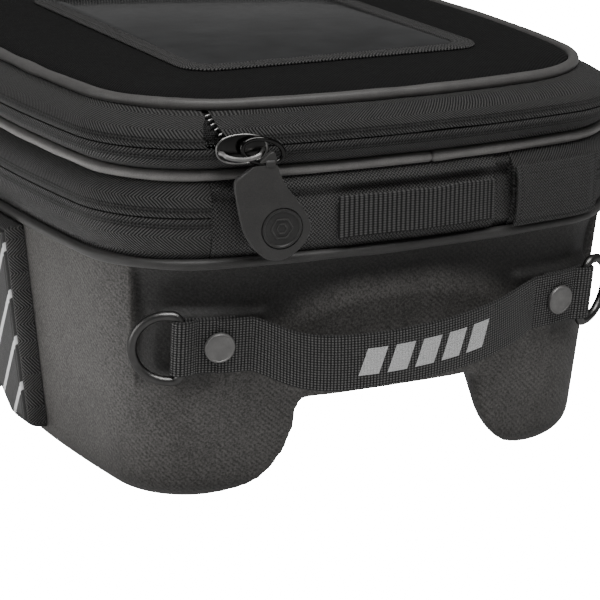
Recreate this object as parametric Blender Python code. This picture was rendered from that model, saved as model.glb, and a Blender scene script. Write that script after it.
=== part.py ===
"""Motorcycle tank bag: moulded saddle base, expansion band, zipped lid, carry handle and D-rings.

Frame: +X to the rider's right, +Y towards the front of the motorcycle, +Z up, feet on Z = 0.
Every outline is given by the heading of its outward normal: 0 faces the rider (-Y), 90 the right,
180 the front and 270 the left. A level of the bag is that outline moved out by an offset.
"""
import math

import bmesh
import bpy
from mathutils import Euler, Matrix, Vector

MM = 0.001

# Plan of the bag at its lower piping
HALF_WIDTH = 0.141
HALF_LENGTH = 0.165
CORNER = 0.053
END_BOW = 9.3           # degrees that the rear and front faces turn on each side of their middle
SIDE_BOW = 7.0          # degrees that each side turns on each side of its middle
CENTRE_Y = 0.0050       # puts the middle of the whole object's length at Y = 0

# Levels
RIM_Z = 0.117           # lower piping, round the top of the moulded base
EXPANSION_Z = 0.139     # expansion zip
MID_Z = 0.1567          # middle piping
LID_ZIP_Z = 0.170       # lid zip
TOP_Z = 0.1857          # top piping
CROWN_Z = 0.1905        # middle of the lid

# Offsets and corner radii of the soft band
MID_OFFSET = -0.002
TOP_OFFSET = -0.0098
TOP_CORNER = 0.063
EXPANSION_BULGE = 0.0044
LID_ZIP_BULGE = 0.0048
BAND_THICKNESS = 0.0016
PIPING_RADIUS = 0.0024
COIL_HEIGHT = 0.0022
GAP = 0.0003

# Moulded base
WALL = 0.004
DRAFT = math.tan(math.radians(6))
FOOT_RADIUS = 0.013
SADDLE_HALF_WIDTH = 0.048
SADDLE_HEIGHT = 0.047
SADDLE_CORNER = 0.004
FLARE_WIDTH = 0.042     # how far the inside of a foot sweeps out on its way down
SPREAD_START = 0.146    # distance from the bag's middle where the tunnel starts to widen inwards
SPREAD_SLOPE = 0.47     # widening of each side per unit of length, which leaves a foot at each corner
SIDE_ARCH_HALF_LENGTH = 0.043
SIDE_ARCH_HEIGHT = 0.030
LINER_THICKNESS = 0.0012
LINER_GAP = 0.0032      # room behind the shell for the rivets' washers
BOARD_WIDTH = 0.086
BOARD_LENGTH = 0.250
BOARD_THICKNESS = 0.0025
BOARD_CORNER = 0.012
MAT_WIDTH = 0.082
MAT_LENGTH = 0.270
MAT_THICKNESS = 0.0022
MAT_CORNER = 0.010

# Webbing, rivets and rings
WEB_WIDTH = 0.0254
WEB_THICKNESS = 0.0016
RIVET_X = 0.0885
RIVET_Z = 0.079
RIVET_RADIUS = 0.00715
RING_HEADING = 27.0     # heading of the corner where the bar of each D-ring stands
RING_WIRE = 0.0022      # wire radius
RING_HEIGHT = 0.0315    # between wire centres along the bar
RING_REACH = 0.0215     # bar centre to the far side of the bow, between wire centres

# Zip pull
SLIDER_X = -0.0825
SLIDER_LENGTH = 0.0235
SLIDER_HEIGHT = 0.0135


def material(name, colour, roughness, metallic=0.0):
    """A plain Principled material."""
    made = bpy.data.materials.new(name)
    made.use_nodes = True
    shader = made.node_tree.nodes["Principled BSDF"]
    shader.inputs["Base Color"].default_value = (*colour, 1)
    shader.inputs["Roughness"].default_value = roughness
    shader.inputs["Metallic"].default_value = metallic
    return made


def clear_scene():
    for item in list(bpy.data.objects):
        bpy.data.objects.remove(item, do_unlink=True)


def materials():
    """The bag's materials by name."""
    table = {
        "moulded_eva": ((0.075, 0.070, 0.067), 0.62, 0.0),
        "zip_tape": ((0.022, 0.022, 0.021), 0.85, 0.0),
        "piping": ((0.070, 0.067, 0.064), 0.55, 0.0),
        "nylon": ((0.018, 0.018, 0.018), 0.8, 0.0),
        "webbing": ((0.014, 0.014, 0.014), 0.75, 0.0),
        "zip_coil": ((0.012, 0.012, 0.012), 0.35, 0.0),
        "black_nickel": ((0.060, 0.058, 0.056), 0.2, 1.0),
        "gunmetal": ((0.145, 0.138, 0.130), 0.42, 1.0),
        "rubber": ((0.060, 0.057, 0.054), 0.6, 0.0),
        "lid_fabric": ((0.010, 0.010, 0.011), 0.7, 0.0),
        "clear_vinyl": ((0.030, 0.032, 0.034), 0.12, 0.0),
        "lining": ((0.20, 0.20, 0.20), 0.85, 0.0),
        "board": ((0.045, 0.045, 0.045), 0.7, 0.0),
        "grip_mat": ((0.020, 0.020, 0.020), 0.9, 0.0),
        "pocket_panel": ((0.045, 0.045, 0.048), 0.3, 0.0),
    }
    return {name: material(name, *values) for name, values in table.items()}


class Bag:
    """What every piece shares: its parent empty and the materials."""

    def __init__(self):
        self.materials = materials()
        self.frame = empty("bag_frame", None, (0, CENTRE_Y, 0))

    def add(self, name, mesh, finish, parent=None, smooth=True):
        """Make one piece of the bag from a mesh."""
        item = bpy.data.objects.new(name, mesh)
        bpy.context.scene.collection.objects.link(item)
        item.parent = parent or self.frame
        mesh.materials.append(self.materials[finish])
        if smooth:
            mesh.shade_smooth()
            mesh.set_sharp_from_angle(angle=math.radians(40))
        return item


def empty(name, parent, location):
    """An empty that carries moving pieces on their joint's axis."""
    item = bpy.data.objects.new(name, None)
    bpy.context.scene.collection.objects.link(item)
    item.location = location
    item.parent = parent
    return item


# Outlines

def plan_point(heading, offset=0.0, corner=None):
    """Point (x, y) of a level whose outward normal has this heading."""
    radius = CORNER + offset if corner is None else corner
    half_width = HALF_WIDTH + offset
    half_length = HALF_LENGTH + offset
    end_bow = math.radians(END_BOW)
    side_bow = math.radians(SIDE_BOW)
    end_rise = math.tan(end_bow / 2)
    side_rise = math.tan(side_bow / 2)
    centre_x = (half_width - radius - (half_length - radius) * side_rise) / (1 - end_rise * side_rise)
    centre_y = half_length - radius - centre_x * end_rise
    normal_x = math.sin(math.radians(heading))
    normal_y = -math.cos(math.radians(heading))
    turn = math.atan2(abs(normal_x), abs(normal_y))
    if turn <= end_bow:
        end_radius = centre_x / math.sin(end_bow) + radius
        x = end_radius * math.sin(turn)
        y = half_length - end_radius * (1 - math.cos(turn))
    elif turn >= math.pi / 2 - side_bow:
        side_radius = centre_y / math.sin(side_bow) + radius
        x = half_width - side_radius * (1 - math.sin(turn))
        y = side_radius * math.cos(turn)
    else:
        x = centre_x + radius * math.sin(turn)
        y = centre_y + radius * math.cos(turn)
    return math.copysign(x, normal_x), math.copysign(y, normal_y)


def end_radius(offset=0.0):
    """Radius of the rear face in plan."""
    x, _ = plan_point(END_BOW, offset)
    return x / math.sin(math.radians(END_BOW))


def heading_at(x, offset=0.0):
    """Heading of the rear face where it crosses x."""
    return math.degrees(math.asin(x / end_radius(offset)))


def headings(first=0.0, last=360.0, corner_steps=6, face_steps=3):
    """Headings from first to last: close together round the corners, wider along the faces."""
    turns = []
    for quarter in range(-1, 5):
        bow = SIDE_BOW if quarter % 2 else END_BOW
        turns += [quarter * 90 - bow, quarter * 90, quarter * 90 + bow]
    edges = [first] + [turn for turn in turns if first < turn < last] + [last]
    result = []
    for low, high in zip(edges, edges[1:]):
        steps = corner_steps if high - low > 2 * END_BOW else face_steps
        steps = max(1, round(steps * min(1, (high - low) / 5)))
        result += [low + (high - low) * step / steps for step in range(steps)]
    return result


def wall_offset(z):
    """Offset of the moulded base's outer wall, which leans in on its way down."""
    return -(RIM_Z - z) * DRAFT


# Meshes

def finish_mesh(name, work):
    """Turn a bmesh into a mesh with its faces pointing out."""
    bmesh.ops.recalc_face_normals(work, faces=work.faces[:])
    mesh = bpy.data.meshes.new(name)
    work.to_mesh(mesh)
    work.free()
    return mesh


def skin(name, rings, closed_path, cap_ends):
    """Join equal rings of points into one skin, with each ring itself closed."""
    work = bmesh.new()
    layers = [[work.verts.new(point) for point in ring] for ring in rings]
    pairs = list(zip(layers, layers[1:]))
    if closed_path:
        pairs.append((layers[-1], layers[0]))
    for lower, upper in pairs:
        for index, corner in enumerate(lower):
            after = (index + 1) % len(lower)
            work.faces.new((corner, lower[after], upper[after], upper[index]))
    if cap_ends:
        work.faces.new(layers[0])
        work.faces.new(layers[-1])
    return finish_mesh(name, work)


def band(name, section, first=None, last=None, **steps):
    """Sweep a closed section round the bag; the section's points are (offset, z) or (offset, z, corner)."""
    whole = first is None
    path = headings(**steps) if whole else headings(first, last, **steps) + [last]
    rings = []
    for heading in path:
        ring = []
        for offset, z, *corner in section:
            x, y = plan_point(heading, offset, *corner)
            ring.append((x, y, z))
        rings.append(ring)
    return skin(name, rings, whole, not whole)


def stack(name, levels, **steps):
    """A solid with a flat top and bottom through levels given as (offset, z) or (offset, z, corner)."""
    rings = []
    for offset, z, *corner in levels:
        rings.append([(*plan_point(heading, offset, *corner), z) for heading in headings(**steps)])
    return skin(name, rings, False, True)


def prism(name, profile, axis, low, high):
    """Extrude a closed profile along X, Y or Z; the profile's points keep the order of the other two axes."""
    rings = []
    for along in (low, high):
        ring = []
        for point in profile:
            coordinates = list(point)
            coordinates.insert("XYZ".index(axis), along)
            ring.append(coordinates)
        rings.append(ring)
    return skin(name, rings, False, True)


def tube(name, path, radius, sides, closed_path):
    """A round wire along points that lie in one plane."""
    points = [Vector(point) for point in path]
    count = len(points)
    flat = (points[1] - points[0]).cross(points[count // 2] - points[0]).normalized()
    rings = []
    for index, point in enumerate(points):
        before = points[index - 1] if index or closed_path else point
        after = points[(index + 1) % count] if index + 1 < count or closed_path else point
        along = (after - before).normalized()
        across = along.cross(flat).normalized()
        ring = []
        for side in range(sides):
            turn = 2 * math.pi * side / sides
            ring.append(point + radius * (math.cos(turn) * across + math.sin(turn) * flat))
        rings.append(ring)
    return skin(name, rings, closed_path, not closed_path)


def turned(name, profile, sides):
    """Turn a profile of (radius, height) about Z; it starts and ends on the axis."""
    work = bmesh.new()
    rings = []
    for radius, height in profile:
        if radius == 0:
            rings.append([work.verts.new((0, 0, height))])
            continue
        ring = []
        for side in range(sides):
            turn = 2 * math.pi * side / sides
            ring.append(work.verts.new((radius * math.cos(turn), radius * math.sin(turn), height)))
        rings.append(ring)
    for lower, upper in zip(rings, rings[1:]):
        for side in range(sides):
            after = (side + 1) % sides
            corners = [lower[side % len(lower)], lower[after % len(lower)],
                       upper[after % len(upper)], upper[side % len(upper)]]
            work.faces.new(list(dict.fromkeys(corners)))
    return finish_mesh(name, work)


def cut(item, cutter):
    """Take one body away from another."""
    cutter.hide_render = True
    cutter.display_type = "WIRE"
    boolean = item.modifiers.new("cut_" + cutter.name, "BOOLEAN")
    boolean.operation = "DIFFERENCE"
    boolean.solver = "EXACT"
    boolean.object = cutter


def join(item, other):
    """Add one body to another."""
    cut(item, other)
    item.modifiers[-1].operation = "UNION"


# Moulded base

def saddle_profile(grow):
    """Cross-section of the tunnel over the fuel tank, moved into the material by grow."""
    half_width = SADDLE_HALF_WIDTH + grow
    centre_x = SADDLE_HALF_WIDTH + FLARE_WIDTH
    centre_z = SADDLE_HEIGHT - SADDLE_CORNER
    right = [(half_width - SADDLE_CORNER, SADDLE_HEIGHT + grow)]
    for step in range(7):
        turn = math.pi / 2 * step / 6
        x = centre_x - (FLARE_WIDTH - grow) * math.cos(turn)
        z = centre_z - (centre_z - grow) * math.sin(turn)
        right.append((x, z))
    right.append((centre_x, -FOOT_RADIUS))
    return right + [(-x, z) for x, z in reversed(right)]


def tunnel_shape(grow):
    """Cutter for the space over the tank: it widens from both ends towards the middle."""
    beyond = HALF_LENGTH + CORNER
    widest = SPREAD_START * SPREAD_SLOPE
    rings = []
    for y, spread in ((-beyond, 0), (-SPREAD_START, 0), (0, widest), (SPREAD_START, 0), (beyond, 0)):
        rings.append([(x + math.copysign(spread, x), y, z) for x, z in saddle_profile(grow)])
    return skin("tunnel", rings, False, True)


def side_arch_profile(grow):
    """Side view of the low arch between the feet, moved into the material by grow."""
    half_length = SIDE_ARCH_HALF_LENGTH + grow
    points = [(half_length, -FOOT_RADIUS)]
    for step in range(9):
        y = half_length * (1 - step / 4)
        points.append((y, grow + SIDE_ARCH_HEIGHT * (1 + math.cos(math.pi * y / half_length)) / 2))
    points.append((-half_length, -FOOT_RADIUS))
    return points


def tub_levels(inset, bottom, top):
    """Levels of a drafted tub with rounded bottom edges."""
    levels = []
    radius = FOOT_RADIUS - inset
    for step in range(4):
        turn = math.pi / 2 * step / 3
        z = bottom + radius * (1 - math.cos(turn))
        levels.append((wall_offset(z) - inset - radius * (1 - math.sin(turn)), z))
    levels.append((wall_offset(top) - inset, top))
    return levels


def tub(bag, name, inset, thickness, top, finish, **steps):
    """A tub that follows the saddle and the side arches, open at the top."""
    beyond = HALF_LENGTH + CORNER
    item = bag.add(name, stack(name, tub_levels(inset, inset, top), **steps), finish)
    hollow = inset + thickness
    cavity = bag.add(name + "_cavity", stack(name, tub_levels(hollow, hollow, top + CORNER), **steps), finish)
    for body, grow in ((item, inset), (cavity, hollow)):
        tunnel = tunnel_shape(grow)
        arch = prism("arch", side_arch_profile(grow), "X", -beyond, beyond)
        cut(body, bag.add(body.name + "_tunnel", tunnel, finish))
        cut(body, bag.add(body.name + "_arch", arch, finish))
    cut(item, cavity)
    return item


def base(bag):
    """The moulded shell, its lining, the stiffener board and the grip mat under the saddle."""
    top = RIM_Z - PIPING_RADIUS - GAP
    shell = tub(bag, "base_shell", 0.0, WALL, top, "moulded_eva")
    lining = tub(bag, "base_lining", WALL + LINER_GAP, LINER_THICKNESS, top - GAP, "lining",
                 corner_steps=4, face_steps=1)
    board_z = SADDLE_HEIGHT + WALL + LINER_GAP + LINER_THICKNESS + GAP
    mat_z = SADDLE_HEIGHT - GAP - MAT_THICKNESS
    board = rounded_box(BOARD_WIDTH, BOARD_LENGTH, BOARD_THICKNESS, BOARD_CORNER)
    bag.add("floor_board", board, "board").location = (0, 0, board_z + BOARD_THICKNESS / 2)
    mat = rounded_box(MAT_WIDTH, MAT_LENGTH, MAT_THICKNESS, MAT_CORNER)
    bag.add("saddle_grip_mat", mat, "grip_mat").location = (0, 0, mat_z + MAT_THICKNESS / 2)
    return shell, lining


def rounded_box(width, length, height, corner):
    """A flat plate with rounded corners, centred on its origin."""
    profile = rounded_profile(width, length, corner)
    return prism("plate", profile, "Z", -height / 2, height / 2)


def rounded_profile(width, length, corner, steps=4):
    """A rounded rectangle's outline."""
    points = []
    for quarter in range(4):
        centre_x = (width / 2 - corner) * (1 if quarter in (0, 3) else -1)
        centre_y = (length / 2 - corner) * (1 if quarter in (0, 1) else -1)
        for step in range(steps + 1):
            turn = math.pi / 2 * (quarter + step / steps)
            points.append((centre_x + corner * math.cos(turn), centre_y + corner * math.sin(turn)))
    return points


# Soft band, pipings and zips

PANEL_LEFT = -12.7      # headings of the ends of the plain rear panel
PANEL_RIGHT = 5.6
GARAGE_RIGHT = 26.6     # heading where the cover of the expansion slider ends
LOOP_LEFT_X = -0.035
LOOP_RIGHT_X = 0.045
LOOP_RAISE = 0.009      # lower edge of the webbing loop above the lower piping
LOOP_HEIGHT = 0.018
HINGE_SPAN = 20.0       # degrees of the lid's fabric hinge on each side of the front's middle
WINDOW_WIDTH = 0.136
WINDOW_LENGTH = 0.186
WINDOW_CORNER = 0.010
WINDOW_THICKNESS = 0.0008
BINDING_REACH = 0.010   # width of the binding's cloth outside the window
BINDING_CORNER = 0.016
BINDING_THICKNESS = 0.0015


def circle_section(offset, z, radius, sides, corner=None):
    """Round section of a piping."""
    section = []
    for side in range(sides):
        turn = 2 * math.pi * (side + 0.5) / sides
        across = radius * math.cos(turn)
        point = [offset + across, z + radius * math.sin(turn)]
        if corner is not None:
            point.append(corner + across)
        section.append(tuple(point))
    return section


def sheet_section(outer, thickness):
    """Section of a fabric sheet from its outer side, bottom to top."""
    inner = []
    for offset, z, *corner in reversed(outer):
        inner.append((offset - thickness, z, *(value - thickness for value in corner)))
    return list(outer) + inner


def box_section(low_offset, high_offset, low_z, high_z):
    """Rectangular section."""
    return [(high_offset, low_z), (high_offset, high_z), (low_offset, high_z), (low_offset, low_z)]


def pipings(bag, upper, lid):
    """The three fabric-covered cords."""
    rim = circle_section(0, RIM_Z, PIPING_RADIUS, 6)
    middle = circle_section(MID_OFFSET, MID_Z, PIPING_RADIUS, 6)
    top = circle_section(TOP_OFFSET, TOP_Z, PIPING_RADIUS, 6, TOP_CORNER)
    bag.add("rim_piping", band("rim_piping", rim), "piping")
    bag.add("middle_piping", moved(band("middle_piping", middle), upper), "piping", upper)
    bag.add("top_piping", moved(band("top_piping", top), lid), "piping", lid)


def moved(mesh, parent):
    """Move a mesh made in the bag's frame into the frame of a parent on a joint's axis."""
    shift = Vector((0, 0, 0))
    while parent is not None and parent.name != "bag_frame":
        shift += parent.location
        parent = parent.parent
    mesh.transform(Matrix.Translation(-shift))
    return mesh


def expansion_band(bag, upper):
    """The two zip tapes of the expansion, their coils, the folded gusset and the plain rear panel."""
    first = PANEL_RIGHT + 0.05
    last = PANEL_LEFT + 360 - 0.5
    foot = RIM_Z + 0.0029
    neck = MID_Z - 0.0028
    bulge = EXPANSION_BULGE
    lower = [(-0.001, foot), (0.0025, RIM_Z + 0.009), (bulge, RIM_Z + 0.017), (bulge, EXPANSION_Z - GAP)]
    raised = [(bulge, EXPANSION_Z + GAP), (bulge - 0.0002, EXPANSION_Z + 0.005),
              (0.002, MID_Z - 0.0065), (MID_OFFSET - 0.0005, neck)]
    coil = (bulge - BAND_THICKNESS - 1.5 * GAP - COIL_HEIGHT, bulge - BAND_THICKNESS - 1.5 * GAP)
    panel = [(-0.001, foot), (0.0016, RIM_Z + 0.010), (0.0024, RIM_Z + 0.020),
             (0.0016, RIM_Z + 0.030), (MID_OFFSET - 0.0005, neck)]
    pleat = box_section(-0.0026, -0.0004, EXPANSION_Z - 0.011, EXPANSION_Z + 0.009)
    ends = {"first": first, "last": last}
    bag.add("expansion_lower_tape", band("lower", sheet_section(lower, BAND_THICKNESS), **ends), "zip_tape")
    below = box_section(*coil, EXPANSION_Z - GAP - COIL_HEIGHT, EXPANSION_Z - GAP)
    bag.add("expansion_lower_coil", band("lower_coil", below, **ends), "zip_coil")
    bag.add("expansion_gusset", band("gusset", pleat, corner_steps=4, face_steps=1, **ends), "nylon")
    tape = band("upper", sheet_section(raised, BAND_THICKNESS), **ends)
    bag.add("expansion_upper_tape", moved(tape, upper), "zip_tape", upper)
    above = band("upper_coil", box_section(*coil, EXPANSION_Z + GAP, EXPANSION_Z + GAP + COIL_HEIGHT), **ends)
    bag.add("expansion_upper_coil", moved(above, upper), "zip_coil", upper)
    plain = band("panel", sheet_section(panel, BAND_THICKNESS), PANEL_LEFT, PANEL_RIGHT)
    bag.add("rear_panel", plain, "nylon")


def rear_trim(bag):
    """The webbing loop sewn on the rear panel and the cover of the expansion slider."""
    off_panel = 0.0028
    low = RIM_Z + LOOP_RAISE
    loop = box_section(off_panel, off_panel + WEB_THICKNESS, low, low + LOOP_HEIGHT)
    ends = (heading_at(LOOP_LEFT_X), heading_at(LOOP_RIGHT_X))
    bag.add("rear_webbing_loop", band("loop", loop, *ends), "webbing")
    cover = [(0.0030, RIM_Z + 0.0034), (0.0074, RIM_Z + 0.008), (0.0090, RIM_Z + 0.016),
             (0.0090, RIM_Z + 0.028), (0.0052, RIM_Z + 0.0352)]
    section = sheet_section(cover, 0.0012)
    bag.add("expansion_slider_cover", band("cover", section, PANEL_RIGHT + 0.15, GARAGE_RIGHT), "nylon")


def lid_band(bag, upper, lid):
    """The lid zip's two tapes and coils, and the fabric hinge at the front."""
    bulge = LID_ZIP_BULGE
    corner = CORNER + bulge
    lower = [(MID_OFFSET - 0.001, MID_Z + 0.0028), (0.0028, MID_Z + 0.0062),
             (bulge, LID_ZIP_Z - 0.0037), (bulge, LID_ZIP_Z - GAP)]
    top = TOP_OFFSET + 0.0018
    raised = [(bulge, LID_ZIP_Z + GAP, corner), (bulge, LID_ZIP_Z + 0.0028, corner),
              (0.0033, LID_ZIP_Z + 0.0060, corner),
              (-0.0012, LID_ZIP_Z + 0.0095, corner + 0.002), (top, TOP_Z - 0.0026, TOP_CORNER)]
    coil = (bulge - BAND_THICKNESS - 1.5 * GAP - COIL_HEIGHT, bulge - BAND_THICKNESS - 1.5 * GAP)
    ends = {"first": -180 + HINGE_SPAN + 1, "last": 180 - HINGE_SPAN - 1}
    tape = band("tape", sheet_section(lower, BAND_THICKNESS))
    bag.add("lid_zip_lower_tape", moved(tape, upper), "zip_tape", upper)
    below = band("coil", box_section(*coil, LID_ZIP_Z - GAP - COIL_HEIGHT, LID_ZIP_Z - GAP), **ends)
    bag.add("lid_zip_lower_coil", moved(below, upper), "zip_coil", upper)
    wall = band("wall", sheet_section(raised, BAND_THICKNESS))
    bag.add("lid_zip_upper_tape", moved(wall, lid), "zip_tape", lid)
    above = band("coil", box_section(*coil, LID_ZIP_Z + GAP, LID_ZIP_Z + GAP + COIL_HEIGHT), **ends)
    bag.add("lid_zip_upper_coil", moved(above, lid), "zip_coil", lid)
    strip = [(-0.0022, LID_ZIP_Z - 0.007), (0.0020, LID_ZIP_Z - 0.001), (0.0020, LID_ZIP_Z + 0.001),
             (-0.0002, LID_ZIP_Z + 0.006)]
    hinge = band("strip", sheet_section(strip, 0.001), 180 - HINGE_SPAN, 180 + HINGE_SPAN)
    bag.add("lid_hinge_strip", moved(hinge, lid), "nylon", lid)


def lid_top(bag, lid):
    """The lid's padded panel, its stiffener and the clear map window with its binding."""
    edge = TOP_OFFSET - PIPING_RADIUS - 0.0007
    levels = []
    for inset, z in ((0, TOP_Z - 0.0022), (0, TOP_Z + 0.001), (0.006, CROWN_Z - 0.0018),
                     (0.020, CROWN_Z - 0.0004), (0.040, CROWN_Z)):
        levels.append((edge - inset, z, TOP_CORNER + edge - inset - TOP_OFFSET))
    panel = stack("panel", levels, corner_steps=5, face_steps=2)
    bag.add("lid_panel", moved(panel, lid), "lid_fabric", lid)
    inset = edge - 0.004
    board_levels = [(inset, TOP_Z - 0.0052, TOP_CORNER - 0.007), (inset, TOP_Z - 0.0028, TOP_CORNER - 0.007)]
    board = stack("board", board_levels, corner_steps=5, face_steps=2)
    bag.add("lid_stiffener", moved(board, lid), "board", lid)
    low = CROWN_Z + GAP
    high = low + BINDING_THICKNESS
    pane = rounded_profile(WINDOW_WIDTH, WINDOW_LENGTH, WINDOW_CORNER)
    window = prism("window", pane, "Z", low, low + WINDOW_THICKNESS)
    bag.add("map_window", moved(window, lid), "clear_vinyl", lid)
    reach = 2 * BINDING_REACH
    clear = 2 * (GAP + 0.0001)
    outer = rounded_profile(WINDOW_WIDTH + reach, WINDOW_LENGTH + reach, BINDING_CORNER)
    inner = rounded_profile(WINDOW_WIDTH + clear, WINDOW_LENGTH + clear, WINDOW_CORNER + clear / 2)
    rings = []
    for (outer_x, outer_y), (inner_x, inner_y) in zip(outer, inner):
        rings.append([(outer_x, outer_y, low), (outer_x, outer_y, high),
                      (inner_x, inner_y, high), (inner_x, inner_y, low)])
    bag.add("map_window_binding", moved(skin("binding", rings, True, False), lid), "zip_tape", lid)


# Carry handle, rivets and D-rings

CORNER_START = END_BOW
HOLE_RADIUS = 0.0023
WASHER_THICKNESS = 0.0012
WASHER_RADIUS = 0.006
WASHER_GAP = 0.0009     # lets the flat washer sit inside the curved wall
LAYER = 0.0011          # middle of the under layer of webbing, off the wall
OVER_LAYER = 0.0030     # middle of the outer layer
BAR_OFF_WALL = 0.00455
HANDLE_SPLIT = 0.0735   # X where the moving strap begins, past each rivet
HANDLE_BOW = 0.015
HANDLE_SAG = 0.010
HANDLE_AXIS_Y = -0.1595
HANDLE_AXIS_Z = 0.0925


def along_wall(distance, z):
    """Heading at a distance past the start of a rear corner, along the wall at this height."""
    radius = CORNER + wall_offset(z) if distance > 0 else end_radius(wall_offset(z))
    return CORNER_START + math.degrees(distance / radius)


def thicken(path, thickness):
    """Outline of a strip of even thickness round a path of (along, off) points."""
    sides = ([], [])
    for index, point in enumerate(path):
        before = Vector(path[max(index - 1, 0)])
        after = Vector(path[min(index + 1, len(path) - 1)])
        direction = (after - before).normalized()
        normal = Vector((-direction.y, direction.x))
        for side, sign in zip(sides, (1, -1)):
            side.append(Vector(point) + normal * sign * thickness / 2)
    return sides[0] + sides[1][::-1]


def ring_bar_distance():
    """Distance of a D-ring's bar past the start of the corner."""
    return math.radians(RING_HEADING - CORNER_START) * (CORNER + wall_offset(RIVET_Z))


def strap_end_path():
    """Webbing path from under the rivet, round the D-ring's bar and back over the rivet."""
    bar = ring_bar_distance()
    reach = RING_WIRE + 0.00025 + WEB_THICKNESS / 2
    path = [(-0.0095, LAYER), (0.004, LAYER), (bar - 0.003, LAYER)]
    for step in range(7):
        turn = math.radians(-80 + 190 * step / 6)
        path.append((bar + reach * math.cos(turn), BAR_OFF_WALL + reach * math.sin(turn)))
    path += [(bar - 0.0042, 0.0055), (0.0078, OVER_LAYER), (0.0, OVER_LAYER), (-0.0145, OVER_LAYER)]
    return path


def wall_frame(side, heading, z, off):
    """Matrix of a frame on the wall: X along it, Y into the bag and Z up the wall's slope."""
    x, y = plan_point(heading, wall_offset(z))
    turn = math.radians(heading)
    out = Vector((math.sin(turn), -math.cos(turn), 0))
    up = (out * DRAFT + Vector((0, 0, 1))).normalized()
    along = Vector((math.cos(turn), math.sin(turn), 0))
    matrix = Matrix((along, up.cross(along), up)).transposed().to_4x4()
    matrix.translation = (x, y, z)
    matrix @= Matrix.Translation((0, -off, 0))
    if side < 0:
        matrix = Matrix.Diagonal((-1, 1, 1, 1)) @ matrix @ Matrix.Diagonal((-1, 1, 1, 1))
    return matrix


def handle_and_rings(bag, shell, handle, rings):
    """Strap ends, rivets, backing washers, D-rings and the moving strap."""
    outline = thicken(strap_end_path(), WEB_THICKNESS)
    low = RIVET_Z - WEB_WIDTH / 2
    high = RIVET_Z + WEB_WIDTH / 2
    stem_end = -0.0080
    cap = [(0, 0.0027), (0.0045, 0.0025), (0.0062, 0.0019), (RIVET_RADIUS, 0.0011), (RIVET_RADIUS, 0.0),
           (HOLE_RADIUS - GAP, 0.0), (HOLE_RADIUS - GAP, stem_end), (0, stem_end)]
    washer = [(0, WASHER_THICKNESS), (WASHER_RADIUS, WASHER_THICKNESS), (WASHER_RADIUS, 0.0), (0, 0.0)]
    drill = [(0, 0.010), (HOLE_RADIUS, 0.010), (HOLE_RADIUS, -0.0075), (0, -0.0075)]
    turn_out = Matrix.Rotation(math.radians(90), 4, "X")
    rivet_heading = heading_at(RIVET_X, wall_offset(RIVET_Z))
    cap_off = OVER_LAYER + WEB_THICKNESS / 2 + GAP
    for side, word in ((-1, "left"), (1, "right")):
        ends = []
        for z in (low, high):
            ring = []
            for along, off in outline:
                x, y = plan_point(along_wall(along, z), wall_offset(z) + off)
                ring.append((side * x, y, z))
            ends.append(ring)
        strap_end = bag.add("strap_end_" + word, skin("end", ends, False, True), "webbing")
        rivet = bag.add("rivet_" + word, turned("rivet", cap, 12), "gunmetal")
        rivet.matrix_local = wall_frame(side, rivet_heading, RIVET_Z, cap_off) @ turn_out
        back = bag.add("rivet_washer_" + word, turned("washer", washer, 12), "gunmetal")
        behind = -WALL - WASHER_GAP - WASHER_THICKNESS
        back.matrix_local = wall_frame(side, rivet_heading, RIVET_Z, behind) @ turn_out
        hole = bag.add("rivet_hole_" + word, turned("hole", drill, 12), "gunmetal")
        hole.matrix_local = wall_frame(side, rivet_heading, RIVET_Z, 0) @ turn_out
        cut(shell, hole)
        cut(strap_end, hole)
        bag.add("d_ring_" + word, d_ring(side), "gunmetal", rings[side])
    strap = moved(handle_strap(), handle)
    bag.add("carry_handle", strap, "webbing", handle)


def d_ring(side):
    """A D-ring in the frame of its bar: Z along the bar, X towards the bow."""
    half = RING_HEIGHT / 2
    centre = RING_REACH - half
    path = [(0, 0, -half), (0, 0, 0), (0, 0, half)]
    for step in range(9):
        turn = math.pi / 2 - math.pi * step / 8
        path.append((side * (centre + half * math.cos(turn)), 0, half * math.sin(turn)))
    return tube("d_ring", path, RING_WIRE, 6, True)


def handle_strap():
    """The strap between the rivets: it bows off the wall and sags."""
    rings = []
    steps = 16
    for step in range(steps + 1):
        x = HANDLE_SPLIT * (2 * step / steps - 1)
        share = 1 - (x / HANDLE_SPLIT) ** 2
        middle_z = RIVET_Z - HANDLE_SAG * share
        heading = heading_at(x, wall_offset(RIVET_Z))
        ring = []
        for up in (-1, 1):
            z = middle_z + up * WEB_WIDTH / 2
            for out in (-up, up):
                off = OVER_LAYER + HANDLE_BOW * share + out * WEB_THICKNESS / 2
                ring.append((*plan_point(heading, wall_offset(RIVET_Z) + off), z))
        rings.append(ring)
    return skin("strap", rings, False, True)


# Sliders and the zip pull

BRIDGE_HALF = 0.0085
BRIDGE_HEIGHT = 0.0090
BRIDGE_WIRE = 0.0011
BRIDGE_FOOT = 0.0018    # the bridge's ends stand inside the plate
PLATE_THICKNESS = 0.0022
PLATE_OFF = 0.0006      # back of a slider's plate off the zip
PLATE_CORNER = 0.0062
PARKED_LENGTH = 0.014   # the expansion zip's smaller slider
PARKED_HEIGHT = 0.009
PARKED_THICKNESS = 0.0024
PARKED_CORNER = 0.003
PARKED_X = 0.076
LINK_CENTRE = (0.0118, -0.0012)
LINK_HALF_LENGTH = 0.0085
LINK_HALF_HEIGHT = 0.0051
LINK_OFF = 0.0060
PULL_THICKNESS = 0.0028
EYE_RADIUS = 0.0028
EYE_LENGTH = 0.0046
EYE_HOLE_RADIUS = 0.0018
BUTTON_RADIUS = 0.0093
BUTTON_THICKNESS = 0.0016
BUTTON_CENTRE = (0.0050, 0, -0.0290)    # below the pull's eye
RECESS_DEPTH = 0.0020


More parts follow.
